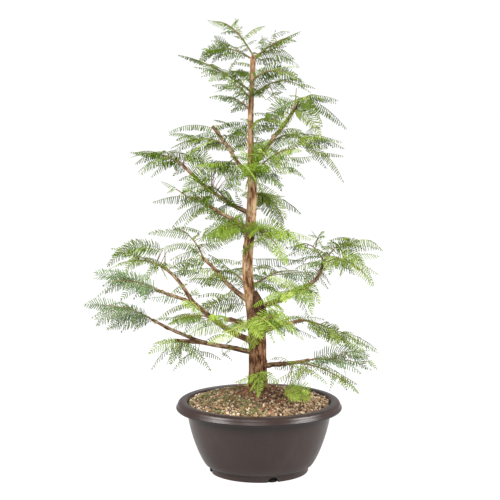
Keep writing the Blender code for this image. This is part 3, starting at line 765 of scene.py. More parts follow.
barkRelief = {
    "warp": (0.5, 0.6),             # how far its strips wander, and how finely
    "strip": 0.35,                  # heights against the limb's groove
    "fine": (0.25, 2.7),            # height and fineness of the small flakes
    "crack": 0.9,
    "ridges": ((3, 0.6, 0.6), (5, 2.0, 0.5)),   # of the root flare: count, turn, height
    "ridgeFade": 0.016,
    "endFade": 0.002,
    "knotAlong": (0.06, 0.96),
    "knotWidth": (0.0022, 0.004),
    "knotLeast": 0.5,               # of the full height
}
bark = {
    "groove": (0.040, 0.018, 0.010),
    # dark, middle and pale: of the trunk above, of its foot, of the old stump, of the boughs
    "upper": ((0.060, 0.025, 0.010), (0.300, 0.152, 0.070), (0.620, 0.425, 0.260)),
    "foot": ((0.020, 0.006, 0.003), (0.115, 0.043, 0.019), (0.390, 0.220, 0.122)),
    "stump": ((0.018, 0.009, 0.006), (0.055, 0.026, 0.015), (0.150, 0.082, 0.048)),
    "bough": ((0.050, 0.024, 0.012), (0.195, 0.110, 0.058), (0.470, 0.330, 0.210)),
    "twig": (0.250, 0.150, 0.078),
    "twigDark": (0.085, 0.045, 0.024),
    "shoot": (0.280, 0.255, 0.095),
    "cutEnd": (0.240, 0.150, 0.090),
    "strips": (330, 4, 0.65),       # scale, detail and roughness of its noises
    "stripStretch": (1, 1, 0.17),
    "flakes": (850, 3, 0.6),
    "flakeStretch": (1, 1, 0.25),
    "patches": (48, 3),
    "stripShare": 0.56,
    "patchShare": 0.44,
    "stops": (0.405, 0.47, 0.57),   # where dark, middle and pale lie
    "footFade": (0.145, 0.195),     # along the trunk, from its foot's tones to its own
    "shadeFrom": (0.080, 0.115),    # along the trunk, a band of painted shade, where its foliage would keep it dark
    "shadeTo": (0.140, 0.170, 1, 0),
    "shade": 0.65,
    "flakeFade": (0.34, 0.52, 0.55, 0.0),
    "crackFade": (0.10, 0.8, 0.0, 0.72),
    "bump": (0.7, 0.0014),
}


def trunkAt(height):
    rows = trunk["rows"]
    heights = [row[0] for row in rows]
    return Vector((float(np.interp(height, heights, [row[1] for row in rows])),
                   float(np.interp(height, heights, [row[2] for row in rows])),
                   min(max(height, heights[0]), heights[-1])))


def curveBetween(start, tip, arch, sway):
    span = tip - start
    middle = (start + tip) / 2 + up * 2 * arch
    aside = span.cross(up)
    aside = aside.normalized() if aside.length > 0.0001 else Vector((1, 0, 0))

    def at(share):
        rest = 1 - share
        point = start * rest * rest + middle * 2 * rest * share + tip * share * share
        return point + aside * span.length * sway * math.sin(2 * math.pi * share)
    return at


def steps(path, first, last, count):
    return [path(first + (last - first) * step / (count - 1)) for step in range(count)]


def pathLength(path):
    points = steps(path, 0, 1, 25)
    return sum((b - a).length for a, b in zip(points, points[1:]))


def routeOf(points):
    # a path along given points by their distance
    table = np.array(points)
    far = np.concatenate(([0], np.cumsum(np.linalg.norm(np.diff(table, axis=0), axis=1))))

    def at(share):
        return Vector([float(np.interp(share * far[-1], far, table[:, axis]))
                       for axis in range(3)])
    return at


def joinedPath(first, second):
    # one path over two boughs, with its corner rounded
    count = boughs["joinPoints"]
    second = steps(second, boughs["joinFirst"], 1, count)
    table = np.array(steps(first, 0, 1, count) + second)
    for turn in range(boughs["joinRounds"]):
        table[1:-1] = 0.25 * table[:-2] + 0.5 * table[1:-1] + 0.25 * table[2:]
    return routeOf(table)


def kinked(at, length, rng, kink, step):
    # the same path with small bends, as where buds have stood
    count = max(3, round(length / step))
    asides = np.array([[rng.uniform(-kink, kink) for axis in range(3)] for place in range(count)])
    asides[0] = 0
    places = np.linspace(0, 1, count)

    def bent(share):
        return at(share) + Vector([float(np.interp(share, places, asides[:, axis]))
                                   for axis in range(3)])
    return bent


def smoothRows(rows):
    # a smooth path and radius through rows of height, X, Y, radius
    heights = [row[0] for row in rows]
    table = np.array([row[1:] for row in rows])

    def at(share):
        height = heights[0] + share * (heights[-1] - heights[0])
        low = max(0, min(np.searchsorted(heights, height) - 1, len(rows) - 2))
        part = (height - heights[low]) / (heights[low + 1] - heights[low])
        before, after = max(low - 1, 0), min(low + 2, len(rows) - 1)
        width = heights[low + 1] - heights[low]
        slopeLow = (table[low + 1] - table[before]) / (heights[low + 1] - heights[before])
        slopeHigh = (table[after] - table[low]) / (heights[after] - heights[low])
        a, b = 2 * part ** 3 - 3 * part ** 2 + 1, part ** 3 - 2 * part ** 2 + part
        c, d = 1 - a, part ** 3 - part ** 2
        x, y, radius = (a * table[low] + b * width * slopeLow + c * table[low + 1]
                        + d * width * slopeHigh)
        return Vector((x, y, height)), float(radius)
    return at


def knotsOn(rng, count, length, height):
    # seeded swellings: where along, where round, how wide, how high
    return [(rng.uniform(*barkRelief["knotAlong"]) * length, rng.uniform(0, fullTurn),
             rng.uniform(*barkRelief["knotWidth"]),
             height * rng.uniform(barkRelief["knotLeast"], 1)) for number in range(count)]


def spokesAlong(points):
    # two directions across the path at every point, turned as little as can be
    across = (points[1] - points[0]).normalized().orthogonal().normalized()
    spokes = []
    for number in range(len(points)):
        before, after = points[max(number - 1, 0)], points[min(number + 1, len(points) - 1)]
        heading = (after - before).normalized()
        across = (across - heading * across.dot(heading)).normalized()
        spokes.append((across, heading.cross(across)))
    return spokes


def stripRelief(style, spot):
    # height of the strips of bark, and how much of a crack there is between them
    wander, fineness = barkRelief["warp"]
    spot += wander * noise.noise_vector(spot * fineness)
    strip = noise.noise(spot)
    crack = max(0.0, 1 - abs(strip) / style["crackWidth"])
    height, fineness = barkRelief["fine"]
    fine = height * noise.noise(spot * fineness)
    relief = barkRelief["strip"] * strip + fine - barkRelief["crack"] * crack * crack
    return style["groove"] * relief, crack


def closeEnds(bm):
    rims = [edge for edge in bm.edges if edge.is_boundary]
    bmesh.ops.holes_fill(bm, edges=rims, sides=0)
    for face in bm.faces:
        if len(face.verts) > 4:
            face.material_index = 1
            face.smooth = False


def barkLimb(name, at, radiusAt, length, style, ridges=0.0, knots=()):
    # a grid rolled round the limb's path, with strips of bark and cracks between them
    sides = style["sides"]
    rings = max(10, round(length / style["ringStep"]))
    points = [at(step / rings) for step in range(rings + 1)]
    spokes = spokesAlong(points)
    offset = Vector((sum(map(ord, name)) % 97 * 3.1, 0, 0))
    bm = bmesh.new()
    bmesh.ops.create_grid(bm, x_segments=sides, y_segments=rings, size=0.5)
    placeLayer = bm.verts.layers.float_vector.new("barkPlace")
    crackLayer = bm.verts.layers.float.new("barkCrack")
    endFade = barkRelief["endFade"]
    for vert in bm.verts:
        turn = 2 * math.pi * (round((vert.co.x + 0.5) * sides) % sides) / sides
        ring = round((vert.co.y + 0.5) * rings)
        along = ring / rings * length
        radius = radiusAt(ring / rings)
        x, y = radius * math.cos(turn), radius * math.sin(turn)
        spot = Vector((x / style["stripWidth"], y / style["stripWidth"],
                       along / style["stripLength"]))
        relief, vert[crackLayer] = stripRelief(style, offset + spot)
        for where, angle, width, height in knots:
            away = math.hypot(where - along, radius * math.sin((turn - angle) / 2) * 2)
            relief += height * math.exp(-(away / width) ** 2)
        relief += radius * ridges * math.exp(-along / barkRelief["ridgeFade"]) * sum(
            high * math.cos(count * turn + start) for count, start, high in barkRelief["ridges"])
        ends = min(1.0, along / endFade, (length - along) / endFade)
        spoke = spokes[ring][0] * math.cos(turn) + spokes[ring][1] * math.sin(turn)
        vert[placeLayer] = (x, y, along)
        vert.co = points[ring] + spoke * (radius + relief * ends)
    bmesh.ops.remove_doubles(bm, verts=bm.verts, dist=0.000002)
    closeEnds(bm)
    bmesh.ops.recalc_face_normals(bm, faces=bm.faces)
    return pieceFrom(name, bm)


def barkFinish(name, tones, lowTones=None):
    # tones: dark, middle and pale; lowTones: the same for the foot of the trunk
    finish = Finish(name, {"Specular IOR Level": 0.1})
    place = finish.node("ShaderNodeAttribute", {"attribute_name": "barkPlace"}, output=1)
    crack = finish.node("ShaderNodeAttribute", {"attribute_name": "barkCrack"}, output=2)
    strips = finish.noise(finish.stretched(place, bark["stripStretch"]), *bark["strips"])
    flakes = finish.noise(finish.stretched(place, bark["flakeStretch"]), *bark["flakes"])
    patches = finish.noise(place, *bark["patches"])
    value = strips * bark["stripShare"] + patches * bark["patchShare"]
    colour = finish.ramp(value, tuple(zip(bark["stops"], tones)))
    if lowTones:
        along = finish.node("ShaderNodeSeparateXYZ", None, {"Vector": place}, output=2)
        low = finish.ramp(value, tuple(zip(bark["stops"], lowTones)))
        above = finish.between(along + patches * 0.05, *bark["footFade"])
        colour = finish.mixed(above, low, colour)
        # painted shade: a band of the trunk darkened towards the old stump's middle tone
        paintedShadeBand = finish.between(along, *bark["shadeFrom"]) * finish.between(along, *bark["shadeTo"])
        colour = finish.mixed(paintedShadeBand * bark["shade"], colour, bark["stump"][1])
    colour = finish.mixed(finish.between(flakes, *bark["flakeFade"]), colour, tones[0])
    colour = finish.mixed(finish.between(crack, *bark["crackFade"]), colour, bark["groove"])
    normal = finish.bump(strips * 0.6 + flakes * 0.4, *bark["bump"])
    finish.put(finish.shader, {"Base Color": colour, "Roughness": 0.78 + flakes * 0.2,
                               "Normal": normal})
    return finish


def makeTrunk():
    rng = random.Random("trunk")
    ends = Finish("cutEnd", {"Base Color": bark["cutEnd"], "Roughness": 0.9})
    total = 0
    # name, rows, flare, knots, finish
    for name, rows, flare, knots, finish in (
            ("trunkBark", trunk["rows"], trunk["flare"], trunk["knots"],
             barkFinish("trunkBark", bark["upper"], bark["foot"])),
            ("oldLeaderStump", trunk["stump"], 0.0, trunk["stumpKnots"],
             barkFinish("stumpBark", bark["stump"]))):
        shape = smoothRows(rows)
        length = rows[-1][0] - rows[0][0]
        limb = barkLimb(name, lambda share: shape(share)[0], lambda share: shape(share)[1],
                        length, trunk, flare, knotsOn(rng, knots[0], length, knots[1]))
        finish.wear(limb)
        ends.wear(limb)
        settle(limb, "bark", "trunk")
        total += len(limb.data.polygons)
    print("trunk", total, "faces")


def leavingPlace(paths, parent, where):
    if parent == "trunk":
        return trunkAt(where)
    return paths[parent](min(where, boughs["endShare"]))


def boughPaths():
    paths = {}
    for number, (name, parent, where, tip, arch, root, end) in enumerate(boughs["rows"]):
        start = leavingPlace(paths, parent, where)
        sway = boughs["sway"] * (1 if number % 2 else -1)
        paths[name] = curveBetween(start, Vector(tip), arch, sway)
    return paths


def makeBoughs():
    paths = boughPaths()
    radii = {row[0]: row[5:] for row in boughs["rows"]}
    finish = barkFinish("boughBark", bark["bough"])
    ends = Finish("boughEnd", {"Base Color": bark["cutEnd"], "Roughness": 0.9})
    for name, at in paths.items():
        if name in boughs["joined"].values():
            continue
        nodes = [name]
        root, end = radii[name]
        if name in boughs["joined"]:
            nodes.append(boughs["joined"][name])
            at = joinedPath(at, paths[nodes[1]])
            end = radii[nodes[1]][1]
        length = pathLength(at)
        rng = random.Random(name)

        def radiusAt(share):
            collar, reach = boughs["collar"]
            thicker = 1 + (collar - 1) * math.exp(-share * length / reach)
            return (root + (end - root) * share) * thicker
        limb = barkLimb(name + "_bark", kinked(at, length, rng, boughs["kink"], boughs["kinkStep"]),
                        radiusAt, length, boughs, 0.0,
                        knotsOn(rng, boughs["knots"], length, boughs["knotHeight"]))
        finish.wear(limb)
        ends.wear(limb)
        settle(limb, "bark", *nodes)
    print("boughs made")
    return paths


# foliage: masses grow by one rule, and then carry finer fronds within the same reach
growth = {
    "stemRoot": 0.0016, "stemRootShare": 0.009, "stemTip": 0.0009,
    "firstLateral": 0.14, "lastLateral": 0.60, "lastFrondStart": 0.56,
    "twigLength": 1.45, "twigDroop": 0.6, "twigEnd": 0.50, "twigLastFrond": 0.46,
    "twigRadius": 0.0011, "twigFronds": ((0.45, 1), (0.70, -1)), "twigFrondSize": 0.9,
    "twigPast": 0.2, "twigTaper": 0.5, "twigRoll": 0.5, "probe": (0.3, 0.0026),
    "bladeWidth": 0.21, "bladeMaxWidth": 0.0180, "bareRib": 0.12, "skin": 0.0012,
    "slabShares": (0.3, 0.5, 0.75, 1.0), "stemShown": 0.86, "stemTaper": 0.6,
    "ribPoints": 4, "tries": 8, "tryTurn": math.radians(7), "tryLift": 0.10,
    "spread": (36, 66), "lift": (-0.12, 0.24), "sizeSpread": (0.86, 1.08),
    "droopSpread": (0.7, 1.3), "roll": (8, 60),
}
Row = namedtuple("Row", "name parent where tip arch laterals twigs length droop colour")
masses = [Row(*row) for row in (
    # name, parent, where it leaves, tip, arch, laterals, how many of them are twigs,
    # length of a frond, droop, colour
    ("mass_low_left", "bough_low_left_fork", 1.0, (-0.284, -0.060, 0.313), 0.008, 5, 2,
     0.064, 0.42, "shade"),
    ("mass_low_left_under", "bough_low_left", 0.93, (-0.140, -0.070, 0.214), 0.008, 4, 0,
     0.062, 0.45, "green"),
    ("mass_left_front", "bough_left_fork_front", 1.0, (-0.258, -0.160, 0.368), 0.008, 5, 2,
     0.066, 0.36, "shade"),
    ("mass_left", "bough_left_fork_up", 1.0, (-0.270, 0.050, 0.364), 0.014, 5, 1,
     0.068, 0.42, "green"),
    ("mass_front_left", "bough_left", 0.40, (-0.150, -0.195, 0.305), 0.020, 5, 1,
     0.080, 0.30, "bright"),
    ("mass_back_left", "bough_back_left", 1.0, (-0.165, 0.205, 0.420), 0.018, 4, 1,
     0.080, 0.32, "green"),
    ("mass_right_front", "bough_right_rise", 0.70, (0.194, -0.105, 0.356), 0.024, 4, 0,
     0.078, 0.32, "green"),
    ("mass_right", "bough_right_rise", 1.0, (0.174, 0.030, 0.404), 0.016, 4, 0,
     0.074, 0.28, "green"),
    ("mass_right_back", "bough_right_rise", 0.80, (0.066, 0.110, 0.392), 0.020, 4, 0,
     0.078, 0.32, "green"),
    ("mass_right_under", "bough_right", 0.42, (0.098, -0.090, 0.340), 0.012, 4, 1,
     0.078, 0.34, "bright"),
    ("mass_back_right", "bough_back_right", 1.0, (0.190, 0.110, 0.196), 0.012, 4, 1,
     0.078, 0.30, "green"),
    ("mass_back_right_up", "trunk", 0.334, (0.092, 0.160, 0.340), 0.016, 4, 1,
     0.080, 0.30, "shade"),
    ("mass_low_right", "bough_low_right", 1.0, (0.197, -0.060, 0.199), 0.010, 5, 2,
     0.062, 0.26, "shade"),
    ("mass_low_right_front", "bough_low_right", 0.66, (0.168, -0.145, 0.176), 0.014, 4, 1,
     0.070, 0.26, "green"),
    ("mass_front", "bough_front", 1.0, (-0.018, -0.195, 0.262), 0.014, 4, 1,
     0.080, 0.32, "bright"),
    ("mass_back", "trunk", 0.330, (-0.105, 0.215, 0.312), 0.030, 5, 1,
     0.084, 0.30, "green"),
    ("mass_low_back", "trunk", 0.246, (0.080, 0.205, 0.222), 0.022, 4, 0,
     0.082, 0.28, "shade"),
    ("mass_foot", "trunk", 0.182, (-0.002, -0.085, 0.157), 0.010, 2, 0,
     0.045, 0.25, "bright"),
    ("mass_mid_front_left", "bough_mid_front_left", 1.0, (-0.122, -0.125, 0.500), 0.010, 5, 0,
     0.076, 0.46, "green"),
    ("mass_mid_front_low", "trunk", 0.428, (-0.064, -0.130, 0.444), 0.020, 5, 0,
     0.076, 0.34, "bright"),
    ("mass_mid_left", "bough_mid_left", 1.0, (-0.232, 0.060, 0.566), 0.014, 5, 1,
     0.078, 0.42, "green"),
    ("mass_mid_left_inner", "bough_mid_left", 0.36, (-0.104, -0.085, 0.512), 0.018, 5, 0,
     0.074, 0.42, "green"),
    ("mass_mid_left_up", "stub_mid_left", 0.66, (-0.160, 0.080, 0.582), 0.014, 4, 1,
     0.068, 0.40, "green"),
    ("mass_mid_front", "trunk", 0.444, (0.046, -0.140, 0.398), 0.016, 4, 0,
     0.078, 0.34, "bright"),
    ("mass_mid_back", "trunk", 0.500, (0.046, 0.130, 0.440), 0.024, 4, 0,
     0.070, 0.36, "green"),
    ("mass_centre", "trunk", 0.528, (-0.024, -0.140, 0.548), 0.024, 5, 1,
     0.074, 0.36, "bright"),
    ("mass_centre_right", "trunk", 0.532, (0.070, -0.110, 0.588), 0.018, 5, 1,
     0.068, 0.34, "bright"),
    ("mass_upper_right_back", "bough_mid_right", 0.40, (0.122, 0.072, 0.548), 0.034, 4, 1,
     0.076, 0.34, "green"),
    ("mass_upper_right", "bough_mid_right", 1.0, (0.108, -0.065, 0.628), 0.022, 4, 1,
     0.068, 0.36, "green"),
    ("mass_upper_front", "trunk", 0.622, (0.040, -0.085, 0.630), 0.014, 5, 0,
     0.064, 0.34, "green"),
    ("mass_upper_back", "trunk", 0.580, (-0.052, 0.118, 0.596), 0.024, 4, 1,
     0.072, 0.34, "green"),
    ("mass_upper_left", "trunk", 0.648, (-0.070, 0.055, 0.668), 0.014, 4, 0,
     0.056, 0.32, "green"),
    ("mass_upper_front_left", "trunk", 0.670, (-0.058, -0.085, 0.694), 0.012, 4, 0,
     0.054, 0.32, "green"),
    ("mass_top_left", "trunk", 0.684, (-0.139, -0.045, 0.748), 0.010, 5, 1,
     0.056, 0.30, "green"),
    ("mass_top_right", "trunk", 0.676, (0.092, 0.030, 0.684), 0.024, 5, 1,
     0.056, 0.32, "green"),
    ("mass_top_front", "trunk", 0.705, (0.062, -0.085, 0.710), 0.015, 4, 0,
     0.052, 0.30, "green"),
    ("mass_top_back", "trunk", 0.700, (-0.032, 0.095, 0.712), 0.014, 4, 0,
     0.054, 0.30, "green"),
    ("mass_crown_left", "trunk", 0.741, (-0.098, 0.034, 0.752), 0.014, 5, 1,
     0.050, 0.22, "green"),
    ("mass_crown_right", "trunk", 0.745, (0.070, -0.030, 0.790), 0.002, 4, 1,
     0.048, 0.20, "green"),
    ("mass_crown_back", "trunk", 0.736, (0.040, 0.080, 0.768), 0.010, 5, 0,
     0.050, 0.22, "green"),
    ("mass_leader", "trunk", 0.748, (-0.082, -0.018, 0.807), 0.018, 5, 1,
     0.046, 0.16, "green"),
)]
# what the scene adds to the rule: fronds opposite to those that the rule sets, and between
finer = {
    "spacing": 0.0500,              # between pairs of fronds along a mass's own path
    "enough": 4,                    # sprays on a mass that make the added pairs needless
    "firstShare": 0.10,
    "lastShare": 0.68,
    "size": (0.50, 0.92),           # of the mass's own fronds
    "nearSize": 0.55,               # the share of that at a path's far end
    "spread": (34, 72),
    "lift": (-0.30, 0.42),
    "droop": (0.5, 1.7),
    "roll": 62,
    "twigPairs": (0.35,),
    "twigFrondSize": 0.62,
    "boughSpacing": 0.075,          # of short shoots along a bough, from this share of it on
    "boughFirst": 0.30,
    "trunkShoots": 18,
    "shootLength": (0.028, 0.058),
    "tries": 7,
    "slabWidth": 0.20,              # of the full width, for what an added frond may not meet
    "boxMargin": 0.012,
    "shareJitter": 0.012,
    "boughLast": 0.97,
    "shootFrom": 0.345,             # height on the trunk
    "shootReach": 0.395,            # from there up
    "shootTurn": 2.4,
    "shootJitter": 0.4,
    "shootRise": (0.0, 0.7),
    "shootDroop": 0.35,
    "shootRoll": 0.6,
    "shootSlab": (0.3, 0.003),      # where it starts between its rib's points, and its width
}


# fronds set one by one, by where they lie on the camera's picture of 500 x 500: root across and
# down, tip across and down, the rise of the arch, form and colour; some also say how many
# millimetres the tip lies behind the root, and which limb carries them
marks = {
    "leader": (
        (236, 30, 209.5, 20.5, 2.5, "mg"), (237, 31, 222, 33, 1, "mg"), (245, 35, 236, 19, -2, "mp"),
        (246, 36, 263.5, 26, 3, "mp"), (243, 40, 233, 36, 1, "tg"), (248, 44, 256, 40, 1, "mg"),
        (262, 52, 272, 40, 0, "mg"), (270, 42, 275, 31, 1, "mg"), (273, 36, 289, 31.5, 2, "mg"),
        (268, 40, 257, 44, 2, "bg"), (266, 44, 255, 48, 2, "mg"), (272, 42, 286, 38, 1.5, "mg"),
        (276, 48, 299, 32.5, 1, "tg"), (270, 51, 284, 43, 1, "mg"), (285, 42, 296, 41, 1, "mg"),
        (280, 49, 288, 54, 1, "tg"), (262, 46, 262, 36, 0, "mg"),),
    "topLeft": (
        (248, 55, 231, 51, -1, "md"), (240, 52, 226, 42, 0, "mg"), (229, 44, 215, 36.5, 1, "bg"),
        (226, 43, 213, 41, 1, "mg"), (230, 47, 212, 47, 2, "bp"), (226, 47, 203, 53, 3, "bg"),
        (222, 50, 201, 58, 3, "bg"), (232, 50, 214, 58, 2, "bp"), (216, 50, 205, 60, 1, "bd"),
        (212, 52, 200, 64, 1, "bg"), (226, 52, 212, 62, 1, "bp"), (236, 56, 222, 60, 2, "bp"),
        (204, 66, 179, 55, 1, "tg"), (222, 67, 203, 60, -1, "mg"), (224, 69, 204, 66, 2, "mg"),
        (213, 55, 202, 49, 1, "tg"), (251, 66, 236, 64, 1, "tg"), (238, 57, 227, 71, 0, "tp"),),
    "topRight": (
        (258, 58, 272, 66, 1, "md"), (274, 55, 298, 65, 3, "mg"), (262, 58, 292, 58, 3, "bp"),
        (257, 64, 280, 62, 3, "mp"), (256, 73, 286, 70, 4, "bg"), (260, 76, 282, 74, 3, "bg"),
        (272, 71, 300, 81, 2, "bg"), (284, 72, 304, 84, 2, "mg"), (298, 82, 315, 88, 1.5, "tg"),
        (285, 70, 297, 74, 1, "mp"),),
    "upperLeft": (
        (250, 80, 236, 72, 2, "bg"), (249, 73, 234, 77, 2, "mg"), (244, 87, 230, 74, 0, "bg"),
        (236, 84, 224, 74, 0, "bg"), (226, 76, 211, 73, 1, "mg"), (228, 78, 210, 80, 2, "bg"),
        (231, 82, 213, 85, 1, "mg"), (236, 86, 219, 88, 1, "bg"), (240, 88, 226, 91, 1, "mg"),
        (244, 90, 232, 96, 1, "mg"), (228, 72, 235, 60, 0, "tp"), (232, 76, 243, 72, 2, "bd"),
        (238, 80, 250, 76, 2, "bg"), (256, 84, 246, 78, 1, "bg"), (222, 68, 212, 66, 1, "mg"),),
    "upperLow": (
        (238, 97, 222, 98, 2, "tg"), (241, 103, 231, 106, 1, "tg"), (236, 90, 248, 96, 2, "mg"),
        (248, 97, 236, 92, 1, "bg"), (250, 100, 240, 98, 1, "mg"),),
    "upperRight": (
        (254, 92, 272, 77, 1, "bg"), (262, 82, 276, 76, 1, "bg"), (258, 88, 274, 84, 2, "md"),
        (257, 94, 272, 93, 2, "mg"), (266, 100, 284, 83, -1, "mg"), (270, 95, 282, 92, 1, "mg"),
        (272, 90, 281, 80, 0, "bg"), (276, 100, 293, 101, 1, "bg"), (258, 97, 266, 89, 1, "bg"),
        (250, 90, 262, 78, 1, "bg"),),
    "midRightBough": (
        (290, 104, 276, 98, 1, "mg"), (288, 107, 266, 124, 7, "bp", -20),
        (285, 112, 268, 130, 5, "bp", 15), (292, 107, 276, 118, 4, "bp", -8),
        (290, 108, 282, 124, 0, "bb"), (288, 112, 280, 128, 0, "bb"), (291, 110, 288, 124, 0, "bb"),
        (284, 120, 276, 134, 0, "bb"), (291, 108, 320, 134, 8, "bp", -14),
        (293, 108, 312, 126, 6, "bp", 14), (297, 104, 320, 118, 4, "mg"),
        (303, 102, 340, 125, 4, "tg"), (300, 104, 318, 112, 3, "mg"), (305, 96, 323, 99, 4, "tg"),
        (306, 97, 325, 102, 2, "tg"), (292, 104, 300, 118, 2, "mg"),),
    "midRight": (
        (272, 142, 290, 136, 2, "md"), (280, 134, 300, 130, 3, "mg"), (284, 138, 306, 137, 4, "bb"),
        (290, 135, 304, 141, 2, "bb"), (286, 146, 304, 140, 2, "bg"), (275, 146, 292, 142, 2, "bg"),
        (296, 144, 323, 137, 4, "mp"), (300, 143, 326, 147, 3, "bp"), (304, 147, 324, 154, 2, "bp"),
        (306, 142, 320, 132, 1, "mp"), (314, 140, 333, 147, 4, "tg"),
        (290, 157.6, 318, 155, -1, "mg"), (320, 152, 343, 156, 1, "tp"),
        (322, 153, 343, 181, 5, "tp"), (286, 168, 304, 178, 4, "mp"), (276, 172, 300, 174, 5, "mp"),
        (272, 172, 281, 190, 2, "mg"), (266, 176, 282, 178, 3, "mg"),),
    "centre": (
        (252, 150, 268, 143, 1, "bc", -40), (254, 156, 271, 150, 1, "bc", -40),
        (250, 148, 262, 158, 1, "bb", -45), (270, 160, 290, 152, 1, "bc", -40),
        (268, 164, 288, 160, 1, "bc", -45), (272, 158, 280, 168, 0, "bb", -35),
        (252, 160, 266, 178, 2, "bc", -45), (250, 164, 240, 178, 1, "bc", -45),
        (254, 170, 262, 190, 1, "bb", -40), (250, 172, 246, 188, 1, "bc", -40),
        (262, 156, 250, 146, 1, "bc", -35), (254, 175, 268, 168, 1, "bg", -30),
        (248, 168, 256, 180, 1, "bb", -50), (264, 146, 256, 138, 1, "bg", -20),
        (276, 150, 268, 140, 1, "bg"),),
    "upperArcs": (
        (211, 131, 169, 132, 5.5, "tg"), (217, 136, 178, 153, 9, "tg"),
        (228, 148, 192, 151, 5, "tg"), (213, 130, 250, 125, 5, "tg"), (250, 130, 231, 139, 3, "bg"),
        (248, 134, 229, 131, 2, "bg"), (230, 146, 250, 142, 3, "bp"), (232, 150, 246, 146, 2, "mp"),
        (226, 144, 214, 143, 1, "tg"), (222, 140, 234, 133, 1, "tg"), (249, 146, 234, 150, 2, "bg"),),
    "midLeft": (
        (183, 160, 171, 151, 1, "mg"), (184, 160, 199, 148, 2, "bp"), (181, 158, 131, 152, 1, "tg"),
        (178, 160, 152, 176, 5, "mg"), (186, 168, 174, 175, 2, "bp"), (184, 158, 214, 166, 5, "bg"),
        (190, 170, 212, 168, 4, "bg"), (186, 161, 200, 155, 1, "bg"), (196, 172, 180, 180, 1, "mg"),
        (212, 176, 184, 190, 4, "bc", -30), (216, 178, 190, 183, 4, "bg"),
        (206, 186, 193, 197, 3, "bp"), (214, 190, 203, 200, 2, "bg"), (212, 170, 234, 165, 2, "bd"),
        (208, 164, 232, 174, 1, "bd"), (216, 168, 240, 172, 2, "bg"),
        (222, 176, 243, 178, 2, "bc", -30), (224, 184, 242, 190, 1, "bb", -30),
        (226, 180, 240, 184, 2, "bc", -35), (218, 193, 232, 186, 2, "bg"),
        (218, 193, 204, 184, 1, "bg"), (236, 205, 218, 200, 2, "bc"), (232, 204, 222, 192, 0, "bg"),
        (244, 206, 236, 193, 0, "md"), (240, 208, 228, 196, 1, "mg"), (204, 160, 190, 160, 1, "bg"),),
    "midFrontLeft": (
        (175, 189, 162, 182, 1, "mg"), (176, 189, 167, 193, 1, "mp"), (200, 201, 180, 208, 3, "mg"),
        (206, 209, 182, 228, 5, "tp"), (212, 205, 194, 197, 2, "bg"), (218, 208, 200, 213, 2, "bg"),
        (224, 213, 206, 206, 1, "bg"), (230, 216, 207, 218, 3, "bb"), (238, 222, 208, 211, 2, "bc"),
        (240, 223, 214, 224, 2, "bc"), (243, 229, 206, 229, 3, "bb", -30),
        (242, 231, 210, 240, 3, "bc", -30), (240, 228, 222, 238, 1, "bc", -35),
        (238, 227, 246, 238, 1, "mg"), (232, 222, 214, 234, 2, "bg"), (246, 214, 232, 220, 1, "mg"),),
    "middle": (
        (201, 232, 176, 227, 2, "tg"), (200, 234, 190, 240, 1, "mg"), (204, 250, 176, 245, 2, "mg"),
        (204, 248, 186, 254, 3, "mg"), (203, 244, 192, 250, 1, "md"), (205, 246, 231, 240, 2, "bp"),
        (205, 244, 222, 248, 2, "mg"), (204, 258, 190, 246, 0, "mg"), (206, 261, 175, 266, 5, "mg"),
        (206, 263, 184, 268, 5, "bp"), (206, 261, 243, 264, 4, "tp"), (208, 266, 224, 260, 1, "mg"),
        (228, 283, 180, 270, 1, "bg"), (226, 282, 188, 280, 3, "mg"), (214, 272, 242, 281, 3, "md"),
        (220, 276, 202, 286, 1, "mg"), (228, 284, 236, 278, 1, "bb"), (226, 283, 222, 290, 0, "bb"),
        (230, 286, 244, 284, 1, "tg"), (226, 296, 196, 298, 4, "tp"), (228, 294, 242, 298, 2, "mp"),
        (246, 306, 204, 305, 3, "bg"), (236, 304, 200, 313, 3, "bg"), (226, 310, 242, 303, 1, "mg"),
        (215, 303, 198, 309, 1, "bb"), (224, 320, 204, 325, 1, "tg"), (234, 322, 246, 316, 1, "tg"),),
    "left": (
        (162, 250, 109, 265, 12, "bg"), (150, 252, 114, 256, 7, "bg"), (160, 252, 130, 250, 3, "mg"),
        (144, 259, 125, 273, 5, "bg"), (146, 261, 134, 266, 1, "mp"),
        (160, 262, 171, 272, 2, "bb", -25), (162, 262, 167, 279, 1, "bb", -25),
        (160, 264, 147, 279, 3, "bp", -20), (158, 262, 156, 274, 1, "bb", -25),
        (164, 264, 176, 268, 2, "bb", -15), (156, 260, 146, 258, 1, "bb"),
        (167, 252, 178, 248, 1, "tg"), (172, 267, 200, 267, 6, "bp"), (174, 270, 196, 272, 2, "md"),
        (178, 274, 188, 264, 1, "md"), (188, 284, 174, 290, 2, "tp"), (186, 297, 199, 295, 4, "bb"),
        (190, 297, 175, 291, 1, "tg"),),
    "leftShade": (
        (156, 289, 97, 273, 2, "bs"), (146, 285, 112, 277, 3, "bs"), (136, 281, 107, 292, 3, "bs"),
        (142, 284, 122, 299, 3, "bs"), (128, 278, 104, 285, 3, "bs"), (150, 287, 134, 298, 3, "bs"),
        (153, 288, 146, 298, 1, "bs"), (138, 280, 146, 276, 1, "bs"), (130, 277, 116, 270, 1, "ms"),),
    "belowLeft": (
        (180, 298, 150, 298, 1, "ms"), (192, 306, 154, 323, 6, "tp"), (196, 303, 178, 310, 3, "tp"),
        (196, 315, 183, 335, 2, "bs"), (198, 312, 206, 326, 1, "mg"),),
    "lowLeftShade": (
        (118, 308, 86, 305, 1, "bs"), (108, 307, 92, 306, 0, "bs"), (146, 317, 98, 324, 9, "bs"),
        (138, 314, 108, 328, 5, "bs"), (132, 312, 97, 318, 4, "bs"), (142, 317, 122, 331, 3, "bs"),
        (148, 319, 112, 327, 2, "bs"), (150, 320, 134, 330, 2, "bs"),),
    "lowLeft": (
        (181, 343, 167, 363, 3, "mp"), (184, 344, 176, 354, 1, "mg"), (195, 352, 173, 370, 4, "mp"),
